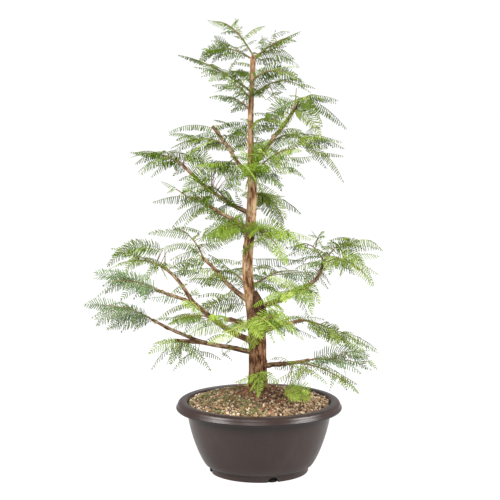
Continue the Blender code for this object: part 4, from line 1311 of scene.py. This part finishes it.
        (188, 346, 197, 355, 0, "tp"), (198, 352, 220, 359, 3, "mp"), (204, 343, 231, 337, 5, "tp"),
        (232, 340, 224, 346, 1, "tg"), (222, 352, 232, 360, 1, "tg"),),
    "hanging": (
        (257, 190, 284, 196, 0, "tg"), (256, 192, 285, 217, 6, "bp"), (256, 195, 281, 227, 5, "bp"),
        (258, 194, 276, 206, 2, "mg"), (252, 229, 285, 260, 4, "bb", -45),
        (254, 229, 299, 246, 9, "bb", -25), (256, 231, 287, 247, 6, "mg", 10),
        (252, 230, 272, 250, 2, "bb", -40), (248, 230, 238, 238, 1, "bb", -30),),
    "rightMiddle": (
        (254, 259, 303, 261, 1, "ms", 30), (256, 268, 288, 276, 3, "mp", 35),
        (258, 266, 278, 272, 4, "tp", 30), (283, 277, 311, 275, 1, "ms"),
        (254, 290, 286, 286, 2, "mb"), (256, 286, 280, 292, 2, "mp"), (262, 284, 280, 296, 2, "mp"),
        (270, 292, 286, 282, 1, "mg"), (300, 292, 279, 287, 3, "bb", -25),
        (304, 286, 298, 302, 2, "bb", -30), (306, 287, 319, 302, 2, "bb", -25),
        (304, 291, 312, 313, 2, "bb", -25), (298, 296, 308, 316, 2, "bp", -20),
        (300, 294, 290, 282, 1, "bb", -30), (310, 284, 296, 292, 2, "bb", -30),
        (312, 282, 320, 294, 1, "bb", -20), (316, 280, 304, 270, 0, "bp"),
        (320, 270, 305, 284, 2, "bp"), (322, 266, 308, 264, 2, "bp"), (320, 272, 330, 284, 2, "bp"),
        (316, 276, 328, 288, 1, "bp"),),
    "rightEnd": (
        (328, 255, 292, 254, 6, "mg"), (322, 263, 297, 268, 3, "mp"), (318, 238, 309, 235, 1, "mp"),
        (318, 238, 312, 231, 0, "tp"), (318, 238, 325, 237, 1, "mp"), (326, 250, 318, 240, 0, "tg"),
        (338, 250, 358, 241, 2, "bd"), (340, 248, 352, 243, 1, "bd"), (344, 246, 360, 246, 2, "bg"),
        (340, 247, 329, 240, 1, "tg"), (350, 239, 331, 240, 2, "tg"), (356, 241, 381, 249, 5, "mb"),
        (354, 243, 366, 251, 2, "mp"), (340, 254, 373, 283, 9, "bb", -15),
        (338, 252, 362, 264, 6, "bp", 10), (330, 258, 352, 270, 4, "bs"),
        (334, 256, 346, 262, 1, "bs"), (326, 262, 322, 274, 0, "ms"),),
    "overTrunk": (
        (305, 320, 282, 321, 5, "tp"), (304, 320, 292, 326, 1, "tg"), (306, 322, 363, 350, 1, "mg"),
        (318, 328, 344, 338, -1, "bp"), (340, 335, 363, 349, 3, "bb"), (312, 325, 322, 336, 1, "mp"),
        (284, 312, 249, 337, 8, "bb", -20), (282, 316, 256, 334, 5, "bb", -25),
        (278, 320, 248, 326, 3, "bb", -30), (286, 314, 270, 330, 2, "bb", -20),
        (280, 313, 262, 314, 3, "bb", -20), (288, 316, 278, 328, 1, "bp", -15),
        (290, 322, 276, 324, 2, "mp"),),
    "lowRight": (
        (290, 363, 271, 359, 4, "mp"), (288, 365, 280, 370, 1, "tg"), (312, 358, 367, 356, 6, "bs"),
        (336, 353, 324, 373, 4, "bs"), (340, 354, 346, 374, 3, "bs"), (346, 352, 367, 358, 3, "bs"),
        (322, 358, 310, 370, 2, "bs"), (330, 355, 318, 366, 2, "bs"), (352, 356, 366, 368, 3, "bs"),
        (330, 356, 352, 364, 3, "bs"), (352, 361, 371, 361, 0, "ts"), (368, 361, 376, 369, 1, "bp"),
        (340, 378, 358, 392, 3, "bp"), (333, 377, 330, 390, 2, "bp"), (338, 378, 346, 389, 1, "bp"),
        (306, 366, 288, 387, 3, "bp", -10), (308, 368, 298, 384, 1, "bp"),
        (318, 370, 306, 376, 1, "tp"),),
    "foot": (
        (284, 387, 310, 397, -2, "bb", -55, "mass_low_right_front"),
        (290, 386, 305, 399, 1, "bb", -55, "mass_low_right_front"),
        (286, 388, 297, 399, 1, "bb", -55, "mass_low_right_front"),
        (298, 387, 309, 392, 1, "bb", -50, "mass_low_right_front"),
        (262, 370, 249, 383, 2, "bd", -25, "trunk"), (264, 372, 252, 388, 1, "bd", -30, "trunk"),
        (258, 374, 266, 388, 1, "bd", -25, "trunk"), (262, 376, 246, 384, 2, "bb", -50, "mass_foot"),
        (262, 378, 258, 396, 2, "bb", -55, "mass_foot"),
        (260, 378, 250, 390, 1, "bb", -55, "mass_foot"),),
}
marking = {
    "middle": 250,                  # of the picture, across and down
    "focal": 1463,                  # the lens, as long as this many of its steps
    "step": 0.00177,                # metres in one of its steps, at the plant
    "behind": 40,                   # steps that a metre of depth counts against a limb
    "otherLimb": 1000,              # steps against a limb that the mark doesn't name
    "trunkFront": -0.004,
    "depth": (0.006, 0.022),        # of a tip before or behind its root, where no mark says
    "lean": 0.35,                   # of the way from the limb to the root
    "twigFrom": 5,                  # steps from the limb to the root that need a side twig
    "rollJitter": (0.75, 1.2),
    "limbFirst": 0.04,
    "limbStep": 0.02,
    "stemLast": 0.84,               # of a mass's stem
    "trunk": (0.17, 0.745, 116),    # lowest and highest place for a mark, and how many
}
sprayTwig = {"root": 0.0011, "end": 0.0006, "arch": 0.001, "points": 8}
frondForms = {
    # roll in degrees, how far the needles hang, their length and spacing against the rule's
    "t": {"roll": 8, "droop": 0.95, "reach": 0.62, "gap": 1.15},
    "m": {"roll": 34, "droop": 0.55, "reach": 0.92, "gap": 1.04},
    "b": {"roll": 70, "droop": 0.15, "reach": 1.02, "gap": 0.92},
}
# the look p deals the pale tint: painted light, for fronds that light shines through from behind
lookColours = {"g": ("green", 0), "p": ("green", 3), "d": ("green", 2), "b": ("bright", 1),
               "c": ("bright", 2), "s": ("shade", 0)}


def bladeSections(rib, roll):
    sections = []
    for number, point in enumerate(rib):
        before, after = rib[max(number - 1, 0)], rib[min(number + 1, len(rib) - 1)]
        heading = (after - before).normalized()
        side = heading.cross(up)
        side = side.normalized() if side.length > 0.05 else heading.orthogonal().normalized()
        side.rotate(Matrix.Rotation(roll, 3, heading))
        sections.append((point, heading, side, side.cross(heading)))
    return sections


def onRib(sections, share):
    place = share * (len(sections) - 1)
    low = min(int(place), len(sections) - 2)
    return [a.lerp(b, place - low) for a, b in zip(sections[low], sections[low + 1])]


def frondSlab(rib, width, roll):
    # the room that a frond takes, past its bare foot
    verts, faces = [], []
    sections = bladeSections(rib, roll)
    shares = (growth["bareRib"], *growth["slabShares"])
    for share in shares:
        point, heading, side, face = onRib(sections, share)
        for across in (-1, 0, 1):
            for above in (-growth["skin"], growth["skin"]):
                verts.append(point + side * across * (width + growth["skin"]) + face * above)
    for row in range(len(shares) - 1):
        first = 6 * row
        for corner in (0, 2, 1, 3):
            faces.append((first + corner, first + corner + 2, first + corner + 8,
                          first + corner + 6))
        faces.append((first, first + 1, first + 7, first + 6))
        faces.append((first + 4, first + 5, first + 11, first + 10))
    return BVHTree.FromPolygons(verts, faces)


def frondWidth(length):
    return min(growth["bladeWidth"] * length, growth["bladeMaxWidth"])


def drawLateral(rng, length, droop):
    spread = math.radians(rng.uniform(*growth["spread"]))
    lift = rng.uniform(*growth["lift"])
    size = length * rng.uniform(*growth["sizeSpread"])
    hang = droop * rng.uniform(*growth["droopSpread"])
    roll = math.radians(rng.uniform(*growth["roll"])) * rng.choice((-1, 1))
    return spread, lift, size, hang, roll


def lateralHeading(path, share, hand, spread, lift):
    along = (path(share + 0.04) - path(share - 0.04)).normalized()
    flat = along.cross(up)
    flat = flat.normalized() if flat.length > 0.25 else Vector((1, 0, 0))
    heading = along * math.cos(spread) + flat * hand * math.sin(spread) + up * lift
    return heading.normalized()


def hanging(root, heading, length, droop):
    def at(share):
        return root + heading * length * share - up * droop * length * share * share
    return at


def part(path, first, last):
    return lambda share: path(first + (last - first) * share)


class Frond:
    # its rib, how far it rolls, its mass's row; a look of its own sets the rest

    def __init__(self, path, roll, row, look=None):
        self.path = path
        self.roll = roll
        self.row = row
        self.look = look            # form and colour, as in the marks


class Crown:
    # the fronds and twigs of the whole plant while they grow

    def __init__(self):
        self.fronds = []
        self.slabs = []             # every frond's room, and the box round it
        self.boxes = []
        self.twigs = []             # path, radius at the root, radius at the end
        self.verts = []
        self.faces = []
        self.room = None
        self.sprays = {}
        for name in ["pot", "soil", "trunk"] + [row[0] for row in boughs["rows"]]:
            self.take(name)
        self.wood = self.room

    def take(self, name):
        mesh = frame["nodes"][name].data
        first = len(self.verts)
        self.verts.extend(vert.co.copy() for vert in mesh.vertices)
        self.faces.extend([first + index for index in face.vertices] for face in mesh.polygons)
        self.room = BVHTree.FromPolygons(self.verts, self.faces)

    def keep(self, frond, slab, rib):
        self.fronds.append(frond)
        self.slabs.append(slab)
        corners = np.array(rib)
        self.boxes.append(np.concatenate((corners.min(axis=0) - finer["boxMargin"],
                                          -corners.max(axis=0) - finer["boxMargin"])))

    def carried(self, name):
        # true for a mass with so many sprays that it needs few fronds between them
        return len(self.sprays[name]) > finer["enough"]

    def crowded(self, slab, rib):
        # true where an added frond would cut through one that is there
        corners = np.array(rib)
        reach = np.concatenate((corners.max(axis=0), -corners.min(axis=0)))
        near = np.nonzero((np.array(self.boxes) < reach).all(axis=1))[0]
        return any(slab.overlap(self.slabs[number]) for number in near)


class Mass:
    # one mass of foliage, by the same rule and seeds as its solid

    def __init__(self, crown, row):
        self.crown = crown
        self.row = row
        self.slabs = []
        self.twigs = []

    def addFrond(self, path, roll):
        rib = steps(path, 0, 1, growth["ribPoints"])
        length = sum((b - a).length for a, b in zip(rib, rib[1:]))
        slab = frondSlab(rib, frondWidth(length), roll)
        if any(slab.overlap(other) for other in [self.crown.room] + self.slabs):
            return False
        self.slabs.append(slab)
        self.crown.keep(Frond(path, roll, self.row), slab, rib)
        return True

    def tryFrond(self, path, share, hand, drawn):
        spread, lift, size, hang, roll = drawn
        for attempt in range(growth["tries"]):
            turn = spread + growth["tryTurn"] * attempt * (-1) ** attempt
            heading = lateralHeading(path, share, hand, turn,
                                     lift + growth["tryLift"] * attempt)
            if self.addFrond(hanging(path(share), heading, size, hang), roll):
                break

    def addTwig(self, path, share, hand, drawn, sideFronds):
        spread, lift, size, hang, roll = drawn
        heading = lateralHeading(path, share, hand, spread, lift)
        twig = hanging(path(share), heading, size * growth["twigLength"],
                       growth["twigDroop"] * hang)
        if twigProbe(steps(twig, 0, growth["twigEnd"], 3)).overlap(self.crown.room):
            self.tryFrond(path, share, hand, drawn)
            return
        self.twigs.append(twig)
        shown = part(twig, 0, growth["twigEnd"] + growth["twigPast"])
        self.crown.twigs.append((shown, growth["twigRadius"],
                                 growth["twigTaper"] * growth["twigRadius"]))
        self.addFrond(part(twig, growth["twigLastFrond"], 1), growth["twigRoll"] * roll)
        for (place, side), drawnSide in zip(growth["twigFronds"], sideFronds):
            self.tryFrond(twig, growth["twigEnd"] * place, side, drawnSide)

    def grow(self, paths, radii):
        name, parent, where, tip, arch, count, twigs, length, droop, colour = self.row
        rng = random.Random(name)
        start = leavingPlace(paths, parent, where)
        path = curveBetween(start, Vector(tip), arch, 0.5 * boughs["sway"])
        root = growth["stemRoot"] + growth["stemRootShare"] * (Vector(tip) - start).length
        if parent != "trunk":
            root = min(root, 0.95 * radii[parent])
        self.crown.twigs.append((part(path, 0, growth["stemShown"]), root,
                                 growth["stemTaper"] * growth["stemTip"]))
        self.path = path
        self.addFrond(part(path, growth["lastFrondStart"], 1), 0)
        for number in range(count):
            reach = growth["lastLateral"] - growth["firstLateral"]
            share = growth["firstLateral"] + reach * (number + 0.5) / count
            hand = 1 if number % 2 else -1
            drawn = drawLateral(rng, length, droop)
            if number in range(1, 1 + twigs):
                sideFronds = [drawLateral(rng, growth["twigFrondSize"] * length, droop)
                              for place, side in growth["twigFronds"]]
                self.addTwig(path, share, hand, drawn, sideFronds)
            else:
                self.tryFrond(path, share, hand, drawn)
        self.crown.take(name)


def twigProbe(points):
    verts, faces = [], []
    first, height = growth["probe"]
    for point in [points[0].lerp(points[1], first)] + points[1:]:
        verts.append(point + up * height)
        verts.append(point - up * height)
    for row in range(len(points) - 1):
        faces.append((2 * row, 2 * row + 1, 2 * row + 3, 2 * row + 2))
    return BVHTree.FromPolygons(verts, faces)


def addFiner(crown, rng, row, path, share, hand, size):
    # a frond that the scene adds, left out where it would cut through another
    for attempt in range(finer["tries"]):
        spread = math.radians(rng.uniform(*finer["spread"]))
        lift = rng.uniform(*finer["lift"])
        hang = row.droop * rng.uniform(*finer["droop"])
        roll = math.radians(rng.uniform(0, finer["roll"])) * rng.choice((-1, 1))
        heading = lateralHeading(path, share, hand, spread, lift)
        frond = hanging(path(share), heading, size, hang)
        rib = steps(frond, 0, 1, growth["ribPoints"])
        slab = frondSlab(rib, finer["slabWidth"] * frondWidth(size), roll)
        if not slab.overlap(crown.wood) and not crown.crowded(slab, rib):
            crown.keep(Frond(frond, roll, row), slab, rib)
            return


def addPairs(crown, rng, row, path, shares, size):
    # fronds on both sides of a stem, shorter towards its far end
    for number, share in enumerate(shares):
        away = number / max(len(shares) - 1, 1)
        for hand in (-1, 1):
            length = size * rng.uniform(*finer["size"]) * (1 - away + finer["nearSize"] * away)
            place = share + rng.uniform(-finer["shareJitter"], finer["shareJitter"])
            addFiner(crown, rng, row, path, place, hand, length)


def onPicture(points):
    # where points lie on the camera's picture, across and down
    away = points - np.array(cameraView["place"])
    level, tilt = math.cos(cameraView["pitch"]), math.sin(cameraView["pitch"])
    ahead = away[:, 1] * level - away[:, 2] * tilt
    above = away[:, 1] * tilt + away[:, 2] * level
    spots = np.stack([away[:, 0], -above], axis=1) / ahead[:, None]
    return marking["middle"] + marking["focal"] * spots


def fromPicture(across, down, depth):
    # the point at this depth, in whole millimetres, that lies there on the picture
    aside = (across - marking["middle"]) / marking["focal"]
    above = (marking["middle"] - down) / marking["focal"]
    level, tilt = math.cos(cameraView["pitch"]), math.sin(cameraView["pitch"])
    x, y, z = cameraView["place"]
    reach = (depth - y) / (level + tilt * above)
    point = (x + aside * reach, depth, z + (level * above - tilt) * reach)
    return [round(1000 * value) for value in point]


def limbPlaces(carriers):
    # where a mark may sit: limb, share along it (on the trunk the height), point
    places = []
    for name, path in carriers.items():
        last = marking["stemLast"] if name.startswith("mass") else 1.0
        count = round((last - marking["limbFirst"]) / marking["limbStep"]) + 1
        for share in np.linspace(marking["limbFirst"], last, count):
            places.append((name, round(float(share), 2), path(float(share))))
    for height in np.linspace(*marking["trunk"]):
        places.append(("trunk", round(float(height), 3), trunkAt(float(height))))
    return places


def placeMarks(carriers):
    # every limb's sprays: share along it, tip, rise of the arch, look, and the root where a
    # twig leads to it; lengths are whole millimetres
    rng = np.random.default_rng(5)
    places = limbPlaces(carriers)
    spots = onPicture(np.array([point for name, share, point in places]))
    behind = marking["behind"] * np.array([max(point.y, 0) for name, share, point in places])
    sprays = {name: [] for name in ["trunk", *carriers]}
    for rootX, rootY, tipX, tipY, rise, look, *more in sum(marks.values(), ()):
        depth, limb = (more + [None, None])[:2]
        away = np.hypot(spots[:, 0] - rootX, spots[:, 1] - rootY)
        other = np.array([limb not in (None, name) for name, share, point in places])
        nearest = int(np.argmin(away + behind + marking["otherLimb"] * other))
        name, share, point = places[nearest]
        if depth is None:
            depth = rng.choice((-1, 1)) * rng.uniform(*marking["depth"])
        else:
            depth *= millimetre
        front = marking["trunkFront"] if name == "trunk" else point.y
        front += math.copysign(marking["lean"] * away[nearest] * marking["step"], depth)
        row = [share, *fromPicture(tipX, tipY, front + depth)]
        row += [round(1000 * marking["step"] * rise), look]
        if round(float(away[nearest]), 1) > marking["twigFrom"]:
            row += fromPicture(rootX, rootY, front)
        sprays[name].append(row)
    return sprays


def growCrown(paths):
    crown = Crown()
    radii = {row[0]: row[6] for row in boughs["rows"]}
    grown = []
    for row in masses:
        mass = Mass(crown, row)
        mass.grow(paths, radii)
        grown.append(mass)
    print("fronds by the rule", len(crown.fronds))
    carriers = {**paths, **{mass.row.name: mass.path for mass in grown}}
    crown.sprays = placeMarks(carriers)
    for mass in grown:
        rng = random.Random(mass.row.name + " finer")
        span = pathLength(mass.path) * (finer["lastShare"] - finer["firstShare"])
        count = 2 if crown.carried(mass.row.name) else max(4, round(span / finer["spacing"]))
        shares = np.linspace(finer["firstShare"], finer["lastShare"], count)
        addPairs(crown, rng, mass.row, mass.path, shares, mass.row.length)
        for twig in mass.twigs:
            addPairs(crown, rng, mass.row, twig, finer["twigPairs"],
                     finer["twigFrondSize"] * mass.row.length)
    print("fronds on the masses", len(crown.fronds))
    addShoots(crown, paths)
    print("fronds with shoots", len(crown.fronds))
    addSprays(crown, carriers)
    print("fronds in all", len(crown.fronds))
    return crown


def addSprays(crown, carriers):
    # the marked fronds, some on a side twig of their own
    rng = random.Random("sprays")
    for name, rows in crown.sprays.items():
        row = next((row for row in masses if name in (row.name, row.parent)), masses[0])
        for share, x, y, z, arch, look, *start in rows:
            root = trunkAt(share) if name == "trunk" else carriers[name](share)
            if start:
                begin = Vector(start) * millimetre
                crown.twigs.append((curveBetween(root, begin, sprayTwig["arch"], 0.0),
                                    sprayTwig["root"], sprayTwig["end"]))
                root = begin
            tip = Vector((x, y, z)) * millimetre
            path = curveBetween(root, tip, arch * millimetre, 0.0)
            roll = frondForms[look[0]]["roll"] * rng.uniform(*marking["rollJitter"])
            roll = math.radians(roll)
            crown.fronds.append(Frond(path, roll * rng.choice((-1, 1)), row, look))


def addShoots(crown, paths):
    # short shoots straight from the boughs and the trunk
    rng = random.Random("shoots")
    nearest = {}
    for row in masses:
        nearest.setdefault(row.parent, row)
    for name, path in paths.items():
        row = nearest.get(name, masses[0])
        length = pathLength(path) * (1 - finer["boughFirst"])
        count = max(2, round(length / finer["boughSpacing"]))
        shares = np.linspace(finer["boughFirst"], finer["boughLast"], count)
        for number, share in enumerate(shares):
            addFiner(crown, rng, row, path, share, 1 if number % 2 else -1,
                     rng.uniform(*finer["shootLength"]))
    for number in range(finer["trunkShoots"]):
        above = finer["shootReach"] * (number + rng.random()) / finer["trunkShoots"]
        height = finer["shootFrom"] + above
        turn = number * finer["shootTurn"]
        turn += rng.uniform(-finer["shootJitter"], finer["shootJitter"])
        rise = rng.uniform(*finer["shootRise"])
        heading = Vector((math.cos(turn), math.sin(turn), rise)).normalized()
        length = rng.uniform(*finer["shootLength"])
        frond = hanging(trunkAt(height), heading, length, finer["shootDroop"])
        rib = steps(frond, 0, 1, growth["ribPoints"])
        first, width = finer["shootSlab"]
        slab = frondSlab([rib[1].lerp(rib[2], first)] + rib[2:], width, 0)
        if not crown.crowded(slab, rib):
            row = min(masses, key=lambda row: abs(row.tip[2] - height))
            roll = rng.uniform(-finer["shootRoll"], finer["shootRoll"])
            crown.keep(Frond(frond, roll, row), slab, rib)


# needles, in two rows on every frond
needle = {
    "spacing": 0.0038,
    "width": 0.00165,
    "angleFoot": 76, "angleTip": 42,   # degrees to the rib, at a frond's foot and at its tip
    "bareShare": 0.05,
    "bareLength": 0.004,
    "lastShare": 0.985,
    "fewest": 6,
    "swell": (0.28, 0.62),          # the part of a sine wave that their lengths follow
    "swelledWidth": (0.7, 0.3),
    "anglePower": 1.5,
    "turnJitter": 0.07,
    "dropJitter": 0.07,
    "twistJitter": 0.2,
    "placeJitter": 0.0003,
    "lengthJitter": (0.88, 1.08),
    "widthJitter": (0.85, 1.1),
    "tipLength": 0.4,
    "length": (0.27, 0.0192),       # of its frond's length, and at most this
    "droop": (0.05, 0.95, 1.3),     # range and power
    "sprayDroop": (0.8, 1.15),
    # reach and spacing of the needles on a mass's own fronds; the last for masses with sprays
    "open": {"bright": (0.95, 0.92), "green": (0.82, 1.08), "shade": (0.80, 1.20),
             "carried": (0.74, 1.24)},
    "zoneGap": {"low": 1.0, "middle": 0.84, "top": 0.90},
    "thick": 0.022,                 # of its length
    "arch": 0.13,
    "ribRadius": (0.00055, 0.00022),
    "ribSwell": (0.6, 4),           # of its foot, more for a longer frond
    "ribPoints": 9,
    "ribTint": (0.4, 0.3, 0.1),
    "ribTintShare": 0.1,
    "mainTint": 0.75,               # how often a spray has the tint of its look
    "sameTint": 0.80,               # and a needle that of its frond
    "brighter": 0.10,               # how often a green frond is bright, and a bright one green
    "greener": 0.20,
    "surface": {"Roughness": 0.65, "Specular IOR Level": 0.10},
}
needleColours = {
    "bright": ((0.255, 0.375, 0.034), (0.345, 0.470, 0.072), (0.128, 0.220, 0.013),
               (0.430, 0.530, 0.130)),
    "green": ((0.108, 0.182, 0.009), (0.186, 0.274, 0.024), (0.040, 0.078, 0.004),
              (0.285, 0.360, 0.080)),
    "shade": ((0.132, 0.215, 0.072), (0.195, 0.280, 0.115), (0.068, 0.126, 0.038),
              (0.285, 0.350, 0.180)),
}
# paler undersides: partly the needles' own paler undersides, partly painted light for light shining
# through them
underside = {"bright": (0.310, 0.420, 0.050), "green": (0.190, 0.265, 0.045),
             "shade": (0.230, 0.300, 0.135)}
# how often each tint is dealt, by the height of a mass's tip
tintShares = {"low": (0.34, 0.38, 0.10, 0.18), "middle": (0.40, 0.14, 0.40, 0.06),
              "top": (0.42, 0.14, 0.36, 0.08)}
zones = ((0.42, "low"), (0.62, "middle"), (9.0, "top"))     # up to this height of a mass's tip


def needlePattern():
    # a flat needle along X with a raised midrib; its underside is marked 1
    bm = bmesh.new()
    rows = ((0, 0, 0), (0.10, 0.46, 0.6), (0.50, 0.5, 0.7), (0.86, 0.42, 0.6), (1, 0, 0))
    for along, half, above in rows:
        if half:
            for across in (-half, half):
                bm.verts.new((along, across, 0))
            bm.verts.new((along, 0, above * needle["thick"]))
        else:
            bm.verts.new((along, 0, 0))
    bmesh.ops.convex_hull(bm, input=bm.verts)
    bmesh.ops.triangulate(bm, faces=bm.faces)
    bmesh.ops.recalc_face_normals(bm, faces=bm.faces)
    for face in bm.faces:
        face.material_index = 1 if face.normal.z < -0.5 else 0
    for vert in bm.verts:
        vert.co.z -= needle["arch"] * vert.co.x ** 2
    return Pattern(bm)


def unit(rows):
    return rows / np.linalg.norm(rows, axis=1, keepdims=True)


def needleAxes(path, roll, rng, frondDroop, stretch=1.0, gap=1.0):
    # matrices and places for all the needles of one frond
    length = pathLength(path)
    bare = max(needle["bareShare"], needle["bareLength"] / length)
    count = max(needle["fewest"], round(length * (1 - bare) / (gap * needle["spacing"])))
    shares = np.linspace(bare, needle["lastShare"], count)
    points = np.array([path(share) for share in shares])
    heading = unit(np.gradient(points, axis=0))
    side = np.cross(heading, np.array(up))
    side = unit(side + 1e-6)
    side = side * math.cos(roll) + np.cross(heading, side) * math.sin(roll)
    face = np.cross(side, heading)
    first, span = needle["swell"]
    swell = np.sin(math.pi * (first + span * shares))
    longest = stretch * min(needle["length"][0] * length, needle["length"][1])
    angle = np.radians(needle["angleFoot"] + (needle["angleTip"] - needle["angleFoot"])
                       * shares ** needle["anglePower"])
    axes, places = [], []
    narrow, wider = needle["swelledWidth"]
    for hand in (-1, 1):
        turn = angle + rng.normal(0, needle["turnJitter"], count)
        drop = frondDroop + rng.normal(0, needle["dropJitter"], count)
        reach = longest * swell * rng.uniform(*needle["lengthJitter"], count)
        wide = needle["width"] * rng.uniform(*needle["widthJitter"], count)
        wide = wide * (narrow + wider * swell)
        along = heading * np.cos(turn)[:, None] + side * hand * np.sin(turn)[:, None]
        along = unit(along * np.cos(drop)[:, None] - face * np.sin(drop)[:, None])
        across = unit(np.cross(face, along))
        above = np.cross(along, across)
        twist = rng.normal(0, needle["twistJitter"], count)[:, None]
        across, above = (across * np.cos(twist) + above * np.sin(twist),
                         above * np.cos(twist) - across * np.sin(twist))
        axes.append(np.stack([along * reach[:, None], across * wide[:, None],
                              above * reach[:, None]], axis=1))
        shift = rng.normal(0, needle["placeJitter"], count)
        places.append(points + heading * shift[:, None])
    end = heading[-1] * longest * needle["tipLength"]
    axes.append(np.stack([end, side[-1] * needle["width"], face[-1] * np.linalg.norm(end)])[None])
    places.append(points[-1:])
    return np.concatenate(axes), np.concatenate(places)


def rods(name, routes, sides):
    # round stems along their points, each with a radius at every point
    curve = bpy.data.curves.new(name, "CURVE")
    curve.dimensions = "3D"
    curve.bevel_depth = 1
    curve.bevel_resolution = sides
    curve.use_fill_caps = True
    for points, radii in routes:
        spline = curve.splines.new("POLY")
        spline.points.add(len(points) - 1)
        for target, point, radius in zip(spline.points, points, radii):
            target.co = (*point, 1)
            target.radius = radius
    maker = bpy.data.objects.new(name, curve)
    bpy.context.scene.collection.objects.link(maker)
    graph = bpy.context.evaluated_depsgraph_get()
    mesh = bpy.data.meshes.new_from_object(maker.evaluated_get(graph))
    bpy.data.objects.remove(maker)
    bpy.data.curves.remove(curve)
    mesh.shade_smooth()
    return linked(name, mesh)


def tapered(path, root, end, count):
    points = steps(path, 0, 1, count)
    return points, [root + (end - root) * number / (count - 1) for number in range(count)]


def zoneOf(height):
    return next(name for top, name in zones if height < top)


def needleLook(crown, frond, zone, rng):
    # colour and tint of a frond's needles, how far they hang, their reach and spacing
    tint = rng.choice(4, p=tintShares[zone])
    if frond.look:
        form = frondForms[frond.look[0]]
        colour, main = lookColours[frond.look[1]]
        tint = main if main and rng.random() < needle["mainTint"] else tint
        droop = form["droop"] * rng.uniform(*needle["sprayDroop"])
        return colour, tint, droop, form["reach"], form["gap"]
    lowest, highest, power = needle["droop"]
    droop = rng.uniform(lowest, highest) ** power
    colour = frond.row.colour
    reach, gap = needle["open"]["carried" if crown.carried(frond.row.name) else colour]
    if colour == "green" and rng.random() < needle["brighter"]:
        colour = "bright"
    if colour == "bright" and rng.random() < needle["greener"]:
        colour = "green"
    return colour, tint, droop, reach, gap


def growNeedles(crown):
    # needles and ribs of all fronds, gathered by colour and zone
    pattern = needlePattern()
    heaps, ribs = {}, {}
    for number, frond in enumerate(crown.fronds):
        rng = np.random.default_rng(1000 + number)
        zone = zoneOf(frond.path(1).z if frond.look else frond.row.tip[2])
        colour, tint, droop, reach, gap = needleLook(crown, frond, zone, rng)
        gap *= needle["zoneGap"][zone]
        axes, places = needleAxes(frond.path, frond.roll, rng, droop, reach, gap)
        same = rng.random(len(places)) < needle["sameTint"]
        tints = np.where(same, tint, rng.integers(0, 4, len(places)))
        heaps.setdefault((colour, zone), Heap()).add(pattern, axes, places, 2 * tints)
        least, more = needle["ribSwell"]
        root = needle["ribRadius"][0] * (least + more * pathLength(frond.path))
        ribs.setdefault((colour, zone), []).append(
            tapered(frond.path, root, needle["ribRadius"][1], needle["ribPoints"]))
    return heaps, ribs


def blended(first, second, share):
    return tuple((1 - share) * a + share * b for a, b in zip(first, second))


def makeNeedles(crown):
    heaps, ribs = growNeedles(crown)
    finishes = {}
    for colour, tints in needleColours.items():
        finishes[colour] = []
        for number, tint in enumerate(tints):
            under = blended(tint, underside[colour], 0.5)
            for side, shade in (("top", tint), ("under", under)):
                finishes[colour].append(Finish("needle_%s%d_%s" % (colour, number, side),
                                               {"Base Color": shade, **needle["surface"]}))
    total = 0
    for (colour, zone), heap in sorted(heaps.items()):
        piece = heap.piece("needles_%s_%s" % (colour, zone), finishes[colour])
        members = [row.name for row in masses
                   if row.colour == colour and zoneOf(row.tip[2]) == zone]
        settle(piece, "foliage_" + colour, *members)
        total += len(piece.data.polygons)
        stalks = rods("fronds_%s_%s" % (colour, zone), ribs[(colour, zone)], 0)
        shade = blended(needleColours[colour][0], needle["ribTint"], needle["ribTintShare"])
        Finish("rib_" + colour, {"Base Color": shade, "Roughness": 0.6}).wear(stalks)
        settle(stalks, "foliage_" + colour)
    print("needles", total, "faces")


twigLook = {
    "thin": 0.66,                   # of the solids' twigs, at the root
    "tip": 0.85,                    # and at the end
    "points": 18,
    "kink": 0.0007,
    "kinkStep": 0.012,
    "tone": (300, 3),
    "patch": (30, 2),
    "toneFade": (0.3, 0.6, 0.7, 0.0),
    "patchFade": (0.45, 0.7),
    "bump": (0.5, 0.0006),
}
# bare dead twigs: from and to
deadTwigs = (((-0.169, 0.009, 0.369), (-0.169, 0.006, 0.405)),
             ((0.063, -0.016, 0.660), (0.065, -0.020, 0.692)))


def makeTwigs(crown):
    rng = random.Random("twigs")
    routes = []
    for path, root, end in crown.twigs:
        bent = kinked(path, pathLength(path), rng, twigLook["kink"], twigLook["kinkStep"])
        routes.append(tapered(bent, twigLook["thin"] * root, twigLook["tip"] * end,
                              twigLook["points"]))
    for first, last in deadTwigs:
        bare = curveBetween(Vector(first), Vector(last), 0.0, 0.0)
        routes.append(tapered(bare, sprayTwig["root"], sprayTwig["end"], sprayTwig["points"]))
    twigs = rods("twigs", routes, 2)
    finish = Finish("twigBark", {"Specular IOR Level": 0.25})
    place = finish.place()
    tone = finish.noise(place, *twigLook["tone"])
    patch = finish.noise(place, *twigLook["patch"])
    colour = finish.mixed(finish.between(patch, *twigLook["patchFade"]), bark["twig"],
                          bark["shoot"])
    colour = finish.mixed(finish.between(tone, *twigLook["toneFade"]), colour, bark["twigDark"])
    finish.put(finish.shader, {"Base Color": colour, "Roughness": 0.75,
                               "Normal": finish.bump(tone, *twigLook["bump"])})
    finish.wear(twigs)
    settle(twigs, "bark")
    print("twigs", len(twigs.data.polygons), "faces")


makeStage()
makePot()
makeSoil()
makeLitter()
makeTrunk()
paths = makeBoughs()
crown = growCrown(paths)
makeNeedles(crown)
makeTwigs(crown)
